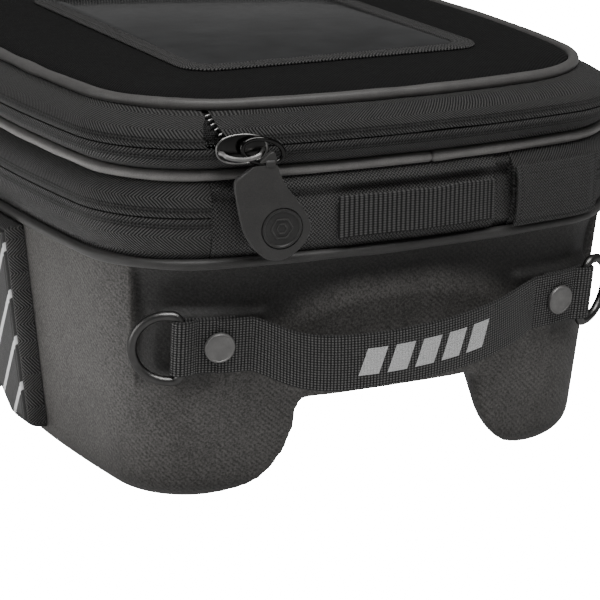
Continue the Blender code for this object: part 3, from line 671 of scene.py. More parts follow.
def tape_look():
    """Wide herringbone zip tape; v is the distance from the zip, along which painted shade darkens the edge.
    """
    look = Look("herringbone_tape", sheen=0.06, specular=0.25)
    rib = 1.6 * MM
    chevron = 8.5 * MM
    lean = look.v.zigzag(chevron)
    wander = look.noise(110, 3) * (0.9 * MM)
    ridges = (look.u + lean * 1.0 + wander).sine(rib)
    yarn = (look.u - lean * 1.3).sine(0.62 * MM)
    stitched = look.v.band(1.8 * MM, 4.6 * MM, 0.3 * MM)
    dots = (look.u.sine(1.6 * MM) * (look.v - 1.8 * MM).sine(1.4 * MM)) * 0.55 + 0.12
    weave = ridges * 0.8 + yarn * 0.2
    height = weave * (stitched * -0.6 + 1) + dots * stitched * 0.6
    fuzz = look.noise(1500, 3, 0.75)
    level = height * 0.66 + fuzz * 0.55
    colour = look.mix(level.ramp(0.36, 0.92), grey(0.002), grey(0.088))
    worn = look.noise(14, 3).ramp(0.45, 0.75) * 0.25
    colour = look.mix(worn, colour, grey(0.050, 0.05))
    # painted shade: the colour goes nearly black at the zip edge, where the two tapes meet
    colour = look.mix(look.v.ramp(0.05 * MM, 0.22 * MM), grey(0.003), colour)
    return look.finish(colour, look.noise(300) * 0.2 + 0.66, level, 0.60 * MM)


def nylon_look(name, cell, value, diagonal=False):
    """Ballistic nylon in a fine basket weave."""
    look = Look(name, sheen=0.05, specular=0.25)
    if diagonal:
        a = (look.u + look.v) * 0.7071
        b = (look.u - look.v) * 0.7071
    else:
        a = look.u
        b = look.v
    column = (a / cell).fraction()
    row = (b / cell).fraction()
    over = look.math("MODULO", (a / cell).floor() + (b / cell).floor(), 2.0).absolute().above(0.5)
    warp = look.math("SINE", column * math.pi)
    weft = look.math("SINE", row * math.pi)
    weave = warp * over + weft * (over * -1 + 1)
    fuzz = look.noise(1700, 3, 0.75)
    level = weave * 0.75 + fuzz * 0.35
    colour = look.mix(level.ramp(0.48, 1.0), grey(value * 0.06), grey(value * 4.7))
    dust = look.noise(16, 3).ramp(0.5, 0.8) * 0.2
    colour = look.mix(dust, colour, grey(value * 2.2, 0.05))
    return look.finish(colour, look.noise(250) * 0.15 + 0.60, level, 0.55 * MM)


def webbing_look(name, pitch_u, pitch_v, value, marks=None, cording=0.6):
    """Nylon webbing: picks along u in rows across v."""
    look = Look(name, sheen=0.05, specular=0.3)
    rows = look.v / pitch_v
    pick = look.math("SINE", (look.u / pitch_u).fraction() * math.pi)
    cord = look.math("SINE", rows.fraction() * math.pi)
    weave = pick.power(0.7) * cord.power(cording)
    fuzz = look.noise(1800, 3, 0.75)
    level = weave * 0.80 + fuzz * 0.35
    colour = look.mix(level.ramp(0.42, 1.0), grey(value * 0.03), grey(value))
    roughness = look.noise(250) * 0.15 + 0.6
    if marks is not None:
        ink = marks(look) * level.ramp(0.05, 0.3)
        colour = look.mix(ink * 0.95, colour, grey(0.50, 0.0))
    return look.finish(colour, roughness, level, 0.42 * MM)


def shell_look():
    """Moulded foam with a finely embossed twill skin; painted shade darkens its colour inside the hand recess.
    """
    look = Look("embossed_shell", sheen=0.04, specular=0.32)
    twill = (look.u * 0.64 + look.v * 0.77 + look.noise(90, 3) * (1.6 * MM)).sine(2.0 * MM)
    fade = look.noise(50, 3).ramp(0.3, 0.7) * 0.7 + 0.3
    pebble = look.noise(1050, 3, 0.65)
    grain = look.noise(2600, 3, 0.7)
    level = twill * 0.10 * fade + pebble * 0.80 + grain * 0.25
    colour = look.mix(level.ramp(0.36, 0.80), grey(0.026, 0.06), grey(0.112, 0.05))
    scuff = look.noise(28, 5, 0.7).ramp(0.55, 0.8) * 0.15
    colour = look.mix(scuff, colour, grey(0.095, 0.05))
    painted_recess_shade = Field(look, look.node("ShaderNodeAttribute", attribute_name="recess").outputs["Fac"])
    # painted shade: the colour goes nearly black inside the hand recess, under the band
    colour = look.mix(painted_recess_shade * 0.70, colour, grey(0.010, 0.0))
    return look.finish(colour, look.noise(400, 3) * 0.2 + 0.46, level, 0.26 * MM)


def leather_look(name, value, roughness=0.5, depth=0.06, sheen=0.1):
    """Smooth coated cloth with a fine grain, for the pipings and the rubber."""
    look = Look(name, sheen=sheen, specular=0.45)
    grain = look.noise(2100, 4, 0.65)
    broad = look.noise(120, 3)
    level = grain * 0.7 + broad * 0.3
    colour = look.mix(level.ramp(0.3, 0.75), grey(value * 0.72, 0.035), grey(value * 1.25, 0.035))
    rub = look.noise(35, 4, 0.7).ramp(0.5, 0.8) * 0.3
    colour = look.mix(rub, colour, grey(value * 1.6, 0.04))
    return look.finish(colour, look.noise(260) * 0.2 + (roughness - 0.1), level, depth * MM)


def metal_look(name, value, roughness, brushed=0.02):
    look = Look(name, metallic=1.0)
    smear = look.noise(180, 4, 0.6)
    fine = look.noise(3000, 3, 0.7)
    colour = look.mix(smear.ramp(0.3, 0.8), grey(value * 0.85, 0.02), grey(value * 1.15, 0.02))
    return look.finish(colour, smear * 0.12 + (roughness - 0.05), fine, brushed * MM)


def coil_look():
    look = Look("zip_coil", specular=0.6)
    streak = look.noise(2000, 2)
    colour = look.mix(streak, grey(0.010), grey(0.030))
    return look.finish(colour, streak * 0.15 + 0.28, streak, 0.02 * MM)


def lining_look(value=0.20):
    """Light woven lining, patterned by its own place."""
    look = Look("lining", sheen=0.15, uv=False)
    threads = (look.u.sine(0.9 * MM) + look.v.sine(0.9 * MM) + look.w.sine(0.9 * MM)) / 3
    fuzz = look.noise(1800, 3, 0.7)
    level = threads * 0.6 + fuzz * 0.4
    colour = look.mix(level.ramp(0.25, 0.8), grey(value * 0.7), grey(value * 1.15))
    soil = look.noise(12, 3).ramp(0.5, 0.8) * 0.25
    colour = look.mix(soil, colour, grey(value * 0.6))
    return look.finish(colour, look.noise(200) * 0.1 + 0.75, level, 0.12 * MM)


def lid_look():
    look = Look("lid_cloth", sheen=0.03, specular=0.2, uv=False)
    cell = 0.9 * MM
    over = look.math("MODULO", (look.u / cell).floor() + (look.v / cell).floor() + 4000, 2.0).above(0.5)
    weave = (look.math("SINE", (look.u / cell).fraction() * math.pi) * over
             + look.math("SINE", (look.v / cell).fraction() * math.pi) * (over * -1 + 1))
    fuzz = look.noise(2200, 3, 0.7)
    level = weave * 0.75 + fuzz * 0.3
    colour = look.mix(level.ramp(0.3, 1.0), grey(0.002), grey(0.009))
    dust = look.noise(18, 4).ramp(0.5, 0.8) * 0.2
    colour = look.mix(dust, colour, grey(0.012, 0.04))
    return look.finish(colour, look.noise(250) * 0.15 + 0.65, level, 0.25 * MM)


def vinyl_look():
    look = Look("window_vinyl", specular=0.6, uv=False, coat=0.3)
    haze = look.noise(40, 4, 0.6)
    colour = look.mix(haze.ramp(0.3, 0.8), grey(0.020, -0.02), grey(0.045, -0.02))
    return look.finish(colour, look.noise(300, 3) * 0.12 + 0.08, look.noise(60, 2), 0.15 * MM)


def board_look(value):
    look = Look("board", uv=False, specular=0.4)
    grain = look.noise(1400, 4, 0.7)
    speck = look.noise(90, 3).ramp(0.5, 0.8)
    colour = look.mix(grain.ramp(0.3, 0.75), grey(value * 0.7), grey(value * 1.3))
    colour = look.mix(speck * 0.3, colour, grey(value * 1.5))
    return look.finish(colour, grain * 0.2 + 0.6, grain, 0.10 * MM)


def mat_look():
    """Grip mat with a field of small pips."""
    look = Look("grip_mat", uv=False, specular=0.35)
    pips = look.u.sine(3 * MM) * look.v.sine(3 * MM)
    pip = pips.ramp(0.35, 0.8)
    grain = look.noise(1600, 3, 0.7)
    level = pip * 0.8 + grain * 0.2
    colour = look.mix(level, grey(0.010), grey(0.035))
    return look.finish(colour, grain * 0.2 + 0.7, level, 0.5 * MM)


def pocket_look():
    """Glossy pocket panel with thin pale stripes that lean forward; u is along the bag, v is up."""
    look = Look("striped_panel", specular=0.55, coat=0.15)
    fine = look.noise(1800, 3, 0.7)
    weave = (look.u + look.v).sine(0.8 * MM) * 0.4 + (look.u - look.v).sine(0.8 * MM) * 0.4 + fine * 0.2
    cloth = look.mix(weave.ramp(0.2, 0.85), grey(0.010), grey(0.045))
    across = look.v * 0.58 + look.u * 0.815
    stripe = (across / (13.5 * MM)).fraction().band(0.07, 0.25, 0.012)
    colour = look.mix(stripe * 0.95, cloth, grey(0.55, 0.0))
    roughness = look.noise(200) * 0.15 + 0.32
    return look.finish(colour, roughness, weave * 0.5 + stripe * 0.5, 0.12 * MM)


def handle_marks(look):
    """Mask of the slanted reflective bars printed in the middle of the handle, where u is 0."""
    upright = look.v - WEB_WIDTH / 2
    lean = look.u - upright * 0.35
    inside = upright.absolute().below(6.2 * MM) * (lean - 4 * MM).absolute().below(35 * MM)
    bars = ((lean + 31 * MM) / (14.0 * MM)).fraction().above(0.30)
    return inside * bars


TAPE = tape_look()
NYLON = nylon_look("ballistic_nylon", 1.25 * MM, 0.023, True)
# a darker copy of the nylon: painted shade for the dark gap by the lid's slider
TONGUE_PAINTED_SHADE = nylon_look("zip_end_cloth_painted_shade", 1.0 * MM, 0.007)
COVER = nylon_look("cover_cloth", 1.10 * MM, 0.019, True)
WEBBING = webbing_look("webbing", 1.55 * MM, 1.2 * MM, 0.108, handle_marks)
LOOP_WEBBING = webbing_look("loop_webbing", 2.3 * MM, 1.15 * MM, 0.090, cording=0.4)
SHELL = shell_look()
PIPING = leather_look("piping_cloth", 0.040)
MIDDLE_PIPING = leather_look("middle_piping_cloth", 0.20)
TOP_PIPING = leather_look("top_piping_cloth", 0.098)
RUBBER = leather_look("pull_rubber", 0.041, 0.50, 0.05)
BUTTON = leather_look("button_rubber", 0.030, 0.42, 0.03)
NICKEL = metal_look("black_nickel", 0.055, 0.14)
GUNMETAL = metal_look("gunmetal", 0.15, 0.36)
# a lighter copy of the slider's black nickel: painted highlight on the slider's bridge and rail and on the
# coil's end teeth
NICKEL_PAINTED_HIGHLIGHT = metal_look("nickel_painted_highlight", 0.40, 0.30, 0.0)
RIVET = metal_look("rivet_metal", 0.34, 0.52, 0.02)
COIL = coil_look()
LINING = lining_look()
LID = lid_look()
VINYL = vinyl_look()
BOARD = board_look(0.045)
MAT = mat_look()
PANEL = pocket_look()


# ---------------------------------------------------------------- moulded base

CUTTER_REACH = 0.3


def saddle_profile(grow):
    half_width = SADDLE_HALF_WIDTH + grow
    centre_x = SADDLE_HALF_WIDTH + FLARE_WIDTH
    centre_z = SADDLE_HEIGHT - SADDLE_CORNER
    right = []
    for step in range(7):
        turn = math.pi / 2 * (1 - step / 6)
        right.append((half_width - SADDLE_CORNER * (1 - math.cos(turn)),
                      SADDLE_HEIGHT + grow - SADDLE_CORNER * (1 - math.sin(turn))))
    for step in range(1, 29):
        turn = math.pi / 2 * step / 28
        right.append((centre_x - (FLARE_WIDTH - grow) * math.cos(turn),
                      centre_z - (centre_z - grow) * math.sin(turn)))
    right.append((centre_x, -FOOT_RADIUS))
    return right + [(-x, z) for x, z in reversed(right)]


def tunnel_shape(grow):
    """Cutter for the space over the tank: it widens from both ends towards the middle."""
    rings = []
    for y in (-CUTTER_REACH, -SPREAD_START, 0, SPREAD_START, CUTTER_REACH):
        spread = max(0.0, SPREAD_START - abs(y)) * SPREAD_SLOPE
        rings.append([(x + math.copysign(spread, x), y + CENTRE_Y, z) for x, z in saddle_profile(grow)])
    return lofted("tunnel", rings)


def side_arch_shape(grow):
    """Cutter for the arch between the feet, right across the bag."""
    half_length = SIDE_ARCH_HALF_LENGTH + grow
    profile = [(half_length, -FOOT_RADIUS)]
    for step in range(41):
        y = half_length * (1 - step / 20)
        profile.append((y, grow + SIDE_ARCH_HEIGHT * (1 + math.cos(math.pi * y / half_length)) / 2))
    profile.append((-half_length, -FOOT_RADIUS))
    return lofted("arch", [[(x, y + CENTRE_Y, z) for y, z in profile] for x in (-CUTTER_REACH, CUTTER_REACH)])


def tub_skin(name, inset, top, voxel, smoothing):
    """Outer skin of a tub over the saddle and the side arches, open at the top."""
    headings = heading_along(np.linspace(0, ROUND, 300, endpoint=False))
    levels = []
    radius = FOOT_RADIUS - inset
    for turn in np.linspace(0, math.pi / 2, 9):
        z = inset + radius * (1 - math.cos(turn))
        levels.append((wall_offset(z) - inset - radius * (1 - math.sin(turn)), z))
    for z in np.linspace(levels[-1][1], top + 8 * MM, 9)[1:]:
        levels.append((wall_offset(z) - inset, z))
    rings = []
    for offset, z in levels:
        x, y = plan(headings, offset)
        rings.append(np.stack([x, y, np.full_like(x, z)], 1))
    item = lofted(name, rings)
    combine(item, tunnel_shape(inset))
    combine(item, side_arch_shape(inset))
    remesh = item.modifiers.new("skin", "REMESH")
    remesh.mode = "VOXEL"
    remesh.voxel_size = voxel
    settle(item)
    smooth = item.modifiers.new("soft", "SMOOTH")
    smooth.factor = 0.5
    smooth.iterations = smoothing
    settle(item)
    work = bmesh.new()
    work.from_mesh(item.data)
    geometry = work.verts[:] + work.edges[:] + work.faces[:]
    bmesh.ops.bisect_plane(work, geom=geometry, plane_co=(0, 0, top), plane_no=(0, 0, 1), clear_outer=True)
    work.to_mesh(item.data)
    work.free()
    return item


def headings_of(co):
    """Heading of the outline beside each point."""
    headings = np.linspace(-180, 180, 3601)
    x, y = plan(headings)
    angles = np.unwrap(np.arctan2(x, -(y - CENTRE_Y)))
    bearing = np.arctan2(co[:, 0], -(co[:, 1] - CENTRE_Y))
    return np.interp(bearing, angles, headings)


RECESS_DEPTH = 4.5 * MM
RECESS_TOP = 0.1160
RECESS_SIDE = 51.5                                     # heading of its upright edges, beyond the rings
RECESS_TURN = (0, 2.2, 5.0, 6.7, 8.4, 13.0, 60.0)      # headings and heights along its lower edge
RECESS_LOW = (0.103, 0.103, 0.095, 0.087, 0.075, 0.062, 0.060)


def recess(item):
    """Press the hand recess behind the handle into a skin, and write the 'recess' mask of painted shade over
    its upper part; the straps' ends keep level pads under them.
    """
    mesh = item.data
    co = coordinates(mesh)
    turn = headings_of(co)
    x, z = abs(co[:, 0]), co[:, 2]
    low = np.interp(abs(turn), RECESS_TURN, RECESS_LOW)
    inside = 1 - smoothstep(abs(turn), RECESS_SIDE - 1, RECESS_SIDE + 1.4)
    pad = (1 - smoothstep(abs(x - 0.090), 0.022, 0.030)) * (1 - smoothstep(abs(z - RIVET_Z), 0.012, 0.018))
    share = np.clip((RECESS_TOP - z) / (RECESS_TOP - low + 10 * MM), 0, 1)
    depth = RECESS_DEPTH * np.sin(math.pi * share ** 0.6) * inside * (1 - pad)
    heading = np.radians(turn)
    co[:, 0] -= depth * np.sin(heading)
    co[:, 1] += depth * np.cos(heading)
    mesh.vertices.foreach_set("co", co.ravel())
    # mask of painted shade: 1 in the recess above its lower edge, where the shell's colour is darkened
    shade = mesh.attributes.new("recess", "FLOAT", "POINT")
    shade.data.foreach_set("value", (smoothstep(z, low - 7 * MM, low + 5 * MM) * inside).astype(np.float32))
    mesh.update()


def wall_map(item):
    """UV map in metres: round the bag and up on the walls, flat on the underside."""
    mesh = item.data
    co = coordinates(mesh)
    u = along(headings_of(co))
    loops = len(mesh.loops)
    index = np.zeros(loops, int)
    mesh.loops.foreach_get("vertex_index", index)
    starts = np.zeros(len(mesh.polygons), int)
    totals = np.zeros(len(mesh.polygons), int)
    normals = np.zeros(len(mesh.polygons) * 3)
    mesh.polygons.foreach_get("loop_start", starts)
    mesh.polygons.foreach_get("loop_total", totals)
    mesh.polygons.foreach_get("normal", normals)
    owner = np.repeat(np.arange(len(starts)), totals)
    flat = abs(normals.reshape(-1, 3)[owner, 2]) > 0.72
    loop_u = u[index]
    highest = np.full(len(starts), -9.0)
    np.maximum.at(highest, owner, loop_u)
    lowest = np.full(len(starts), 9.0)
    np.minimum.at(lowest, owner, loop_u)
    wraps = (highest - lowest)[owner] > ROUND / 2
    loop_u = np.where(wraps & (loop_u < 0), loop_u + ROUND, loop_u)
    loop_v = co[index, 2]
    uv = np.stack([np.where(flat, co[index, 0], loop_u), np.where(flat, co[index, 1], loop_v)], 1)
    layer = mesh.uv_layers.new(name="UVMap")
    layer.data.foreach_set("uv", uv.astype(np.float32).ravel())


LINING_LENGTH = 0.52      # over the floor and both end walls


def build_base():
    shell = tub_skin("shell", 0.0, RIM_Z - PIPING_RADIUS + 0.4 * MM, 1.5 * MM, 9)
    wall_map(shell)
    recess(shell)
    thick = shell.modifiers.new("wall", "SOLIDIFY")
    thick.thickness = WALL
    thick.offset = -1
    settle(shell)
    shell.data.materials.append(SHELL)
    shell.data.shade_smooth()
    install(shell, "base", "moulded_eva", "base_shell")
    inset = WALL + 3.2 * MM
    lining = tub_skin("shell_lining", inset, RIM_Z - 4.0 * MM, 3.2 * MM, 5)
    recess(lining)
    mesh = lining.data
    co = np.array([v.co for v in mesh.vertices])
    normal = np.array([v.normal for v in mesh.vertices])
    wave = ripple(co[:, 0] + co[:, 1] * 0.6, co[:, 2] + co[:, 1] * 0.4, 0.05, 5)
    co -= normal * (0.35 * MM + 0.3 * MM * wave)[:, None]
    mesh.vertices.foreach_set("co", co.ravel())
    thick = lining.modifiers.new("cloth", "SOLIDIFY")
    thick.thickness = 1.0 * MM
    thick.offset = -1
    settle(lining)
    lining.data.materials.append(LINING)
    lining.data.shade_smooth()
    install(lining, "base", "lining", "base_lining")
    cloth(lining, LINING_LENGTH, "laid", "shell")


def build_pipings():
    """Three fabric-covered cords; the middle one's ends butt near the middle of the rear face."""
    turn = np.linspace(0, 2 * math.pi, 18, endpoint=False)
    for name, offset, z, radius, extra, look, seam_x, seed, body, node in (
            ("rim_cord", 0.0, RIM_Z, PIPING_RADIUS, CORNER, PIPING, None, 1, "base", "rim_piping"),
            ("middle_cord", MID_OFFSET, MID_Z, PIPING_RADIUS, CORNER, MIDDLE_PIPING, 0.0138, 2,
             "expansion_frame", "middle_piping"),
            ("top_cord", TOP_OFFSET, TOP_Z, PIPING_RADIUS + 0.15 * MM, TOP_EXTRA, TOP_PIPING, None, 3,
             "lid", "top_piping")):
        section = np.stack([offset + radius * np.cos(turn), z + radius * np.sin(turn),
                            np.full_like(turn, extra)], 1)
        v = turn * radius
        seam = along(rear_heading(seam_x)) if seam_x is not None else ROUND / 2 - 30 * MM

        def relief(u, vv, offset=offset, z=z, radius=radius, seam=seam, seed=seed):
            angle = vv / radius
            lap = smoothstep(u - seam, 0, 0.3 * MM) * (1 - smoothstep(u - seam, 4 * MM, 14 * MM))
            swell = ripple(u, vv, 0.045, seed) * 0.10 * MM + 0.22 * MM * lap
            swell = swell - 1.3 * MM * hump(u, seam, 0.5 * MM)
            return swell * np.cos(angle), swell * np.sin(angle)

        cord = sweep(name, section, v, look, step=0.9 * MM if seam_x is not None else 1.2 * MM, relief=relief)
        install(cord, body, "piping", node)


# ---------------------------------------------------------------- soft band and zips

def pucker(seed, amount, length, sewn_last=False):
    """Relief of a sewn tape: broad unevenness, and small gathers at both sewn edges."""
    def relief(u, v):
        middle = np.clip(v / length, 0, 1)
        free = np.sin(math.pi * middle)
        broad = ripple(u, v, 0.050, seed) * amount * free
        from_seam = (1 - middle if sewn_last else middle) * length
        gather = ripple(u, v * 0, 0.0085, seed + 40) * 0.10 * MM * hump(from_seam, 2 * MM, 2 * MM)
        return broad + gather, 0.25 * broad
    return relief


def zip_coil(name, offset, z, first, last, mirror):
    """Nylon coil of a zip: a filament that doubles back at every tooth."""
    pitch = 1.5 * MM
    start, stop = along(first), along(last)
    teeth = int((stop - start) / pitch)
    t = np.arange(teeth * 6 + 1) / 6
    u = start + t * pitch
    swing = np.cos(2 * math.pi * t)
    depth = np.sin(2 * math.pi * t)
    zz = z + mirror * 0.85 * MM * swing
    off = offset - 0.5 * MM + 0.45 * MM * depth
    x, y = plan(heading_along(u), off)
    path = np.stack([x, y, zz], 1)
    return tube(name, path, 0.34 * MM, COIL, sides=5, closed=False, flat=(0, 0, 1))


def build_expansion():
    first = GARAGE_LEFT + 0.1
    last = PANEL_LEFT + 360 - 0.5
    foot = RIM_Z + CORD_CLEARANCE
    neck = MID_Z - CORD_CLEARANCE
    bulge = EXPANSION_BULGE
    lower = [(-1.0 * MM, foot), (2.5 * MM, RIM_Z + 9 * MM), (4.2 * MM, RIM_Z + 16 * MM),
             (bulge, EXPANSION_Z - 0.25 * MM)]
    section, v = cushion(lower, TAPE_THICKNESS)
    tape = sweep("expansion_tape_low", section, v, TAPE, first, last, relief=pucker(11, 0.32 * MM, v.max()),
                 zip_edge=outer_length(lower, 0.8 * MM))
    install(tape, "base", "zip_tape", "expansion_lower_tape")
    cloth(tape, run(first, last, bulge), "stretched", "rim_cord")
    raised = [(bulge, EXPANSION_Z + 0.25 * MM), (bulge - 0.2 * MM, EXPANSION_Z + 5 * MM),
              (2.0 * MM, MID_Z - 6.5 * MM), (MID_OFFSET - 0.5 * MM, neck)]
    section, v = cushion(raised, TAPE_THICKNESS)
    upper = sweep("expansion_tape_high", section, v, TAPE, first, last,
                  relief=pucker(12, 0.32 * MM, v.max(), True))
    install(upper, "expansion_frame", "zip_tape", "expansion_upper_tape")
    cloth(upper, run(first, last, bulge), "stretched", "middle_cord")
    coil_offset = bulge - COIL_DEPTH
    low_coil = zip_coil("expansion_coil_low", coil_offset, EXPANSION_Z - COIL_HALF_GAP, first, last, 1)
    install(low_coil, "base", "zip_coil", "expansion_lower_coil")
    high_coil = zip_coil("expansion_coil_high", coil_offset, EXPANSION_Z + COIL_HALF_GAP, first, last, -1)
    install(high_coil, "expansion_frame", "zip_coil", "expansion_upper_coil")
    # the gusset hangs as one fold behind the zip
    fold = [(-0.9 * MM, EXPANSION_Z - 11 * MM, CORNER), (-1.2 * MM, EXPANSION_Z, CORNER),
            (-0.9 * MM, EXPANSION_Z + 9 * MM, CORNER)]
    section, v = cushion(fold, 0.8 * MM, 1.2 * MM)

    def folds(u, vv):
        return ripple(u, vv, 0.02, 21) * 0.35 * MM, 0 * u

    gusset = sweep("expansion_gore", section, v, NYLON, first, last, step=3 * MM, relief=folds)
    hinge_cloth(gusset, "base", "expansion_frame", (0, 0, EXPANSION_Z - 9 * MM), (0, 0, EXPANSION_Z + 7 * MM),
                "nylon", "expansion_gusset")
    cloth(gusset, run(first, last, -1 * MM), "folded", "expansion_tape_low", "expansion_tape_high")
    panel = [(-1.0 * MM, foot), (2.1 * MM, RIM_Z + 8 * MM), (2.5 * MM, RIM_Z + 17 * MM),
             (1.5 * MM, RIM_Z + 24 * MM), (-0.2 * MM, RIM_Z + 28.5 * MM), (1.8 * MM, RIM_Z + 33 * MM),
             (MID_OFFSET - 0.5 * MM, neck)]
    section, v = cushion(panel, TAPE_THICKNESS)
    length = v.max()
    step_in = along(PANEL_EDGE)

    def panel_relief(u, vv):
        share = np.clip(vv / length, 0, 1)
        seam = hump(u, along(PANEL_LEFT) + 2.2 * MM, 0.5 * MM)
        behind = smoothstep(u, step_in - 0.7 * MM, step_in + 0.5 * MM)
        behind = behind * np.sin(math.pi * np.clip(share, 0.1, 0.9))
        return (ripple(u, vv, 0.05, 31) * 0.28 * MM * np.sin(math.pi * share) - 0.35 * MM * seam
                + ripple(u, vv * 0, 0.006, 32) * 0.08 * MM * hump(share, 0, 0.12)
                - 4.2 * MM * behind), 0 * u

    rear = sweep("rear_cloth", section, v, NYLON, PANEL_LEFT, PANEL_END, step=0.6 * MM, relief=panel_relief)
    hinge_cloth(rear, "base", "expansion_frame", REAR_BEND_START, REAR_BEND_END, "nylon", "rear_panel")
    cloth(rear, run(PANEL_LEFT, PANEL_END), "stretched", "rim_cord", "middle_cord")


LOOP_LEFT_X = -0.035
LOOP_RIGHT_X = 0.0447


def build_rear_trim():
    """The webbing loop on the rear panel and the cover of the expansion slider."""
    start = along(rear_heading(LOOP_LEFT_X))
    stop = along(rear_heading(LOOP_RIGHT_X))
    u = np.linspace(start, stop, 110)
    height = np.linspace(RIM_Z + 8.5 * MM, RIM_Z + 26.8 * MM, 26)
    uu, zz = np.meshgrid(u, height, indexing="ij")
    share = (uu - start) / (stop - start)
    lift = 1.1 * MM * np.sin(math.pi * np.clip(share, 0, 1)) ** 0.7
    sewn = hump(uu, start + 2.6 * MM, 0.6 * MM) + hump(uu, stop - 2.6 * MM, 0.6 * MM)
    offset = 3.75 * MM + lift - 0.3 * MM * sewn
    x, y = plan(heading_along(uu), offset)
    zz = zz + 0.25 * MM * ripple(uu, zz, 0.03, 61)
    loop = ribbon("rear_loop", np.stack([x, y, zz], -1), 1.5 * MM, LOOP_WEBBING, u - start)
    hinge_cloth(loop, "base", "expansion_frame", REAR_BEND_START, REAR_BEND_END, "webbing",
                "rear_webbing_loop")
    cloth(loop, float(stop - start), "stretched", "rear_cloth")
    cover = [(5.4 * MM, RIM_Z + 3.1 * MM), (7.0 * MM, RIM_Z + 6 * MM), (8.0 * MM, RIM_Z + 13 * MM),
             (8.1 * MM, RIM_Z + 24 * MM), (7.0 * MM, RIM_Z + 30 * MM), (5.6 * MM, RIM_Z + 32.2 * MM)]
    section, v = cushion(cover, 1.1 * MM, 0.6 * MM)
    length = v.max()
    right = along(GARAGE_RIGHT)
    left = along(GARAGE_LEFT)

    def relief(u, vv):
        share = np.clip(vv / length, 0, 1)
        taper = smoothstep(u, right - 9 * MM, right - 0.5 * MM)
        fall = -taper * (2.6 * MM) * np.sin(math.pi * share) ** 0.6
        stitch = sum(hump(value, middle, 0.45 * MM) for value, middle in (
            (u, left + 2.3 * MM), (u, right - 2.3 * MM), (vv, length - 5.2 * MM), (vv, 3.0 * MM)))
        return fall + ripple(u, vv, 0.04, 71) * 0.22 * MM - 0.42 * MM * np.clip(stitch, 0, 1), 0 * u

    flap = sweep("slider_garage", section, v, COVER, GARAGE_LEFT, GARAGE_RIGHT, step=0.6 * MM, relief=relief)
    install(flap, "base", "nylon", "expansion_slider_cover")
    cloth(flap, run(GARAGE_LEFT, GARAGE_RIGHT, 8 * MM), "stretched", "rim_cord", "expansion_tape_low")


NOTCH_LEFT = -0.0968      # X where the left end of the lid's tape stops, at the zip
NOTCH_RIGHT = -0.0845     # X where the other end starts, at the zip


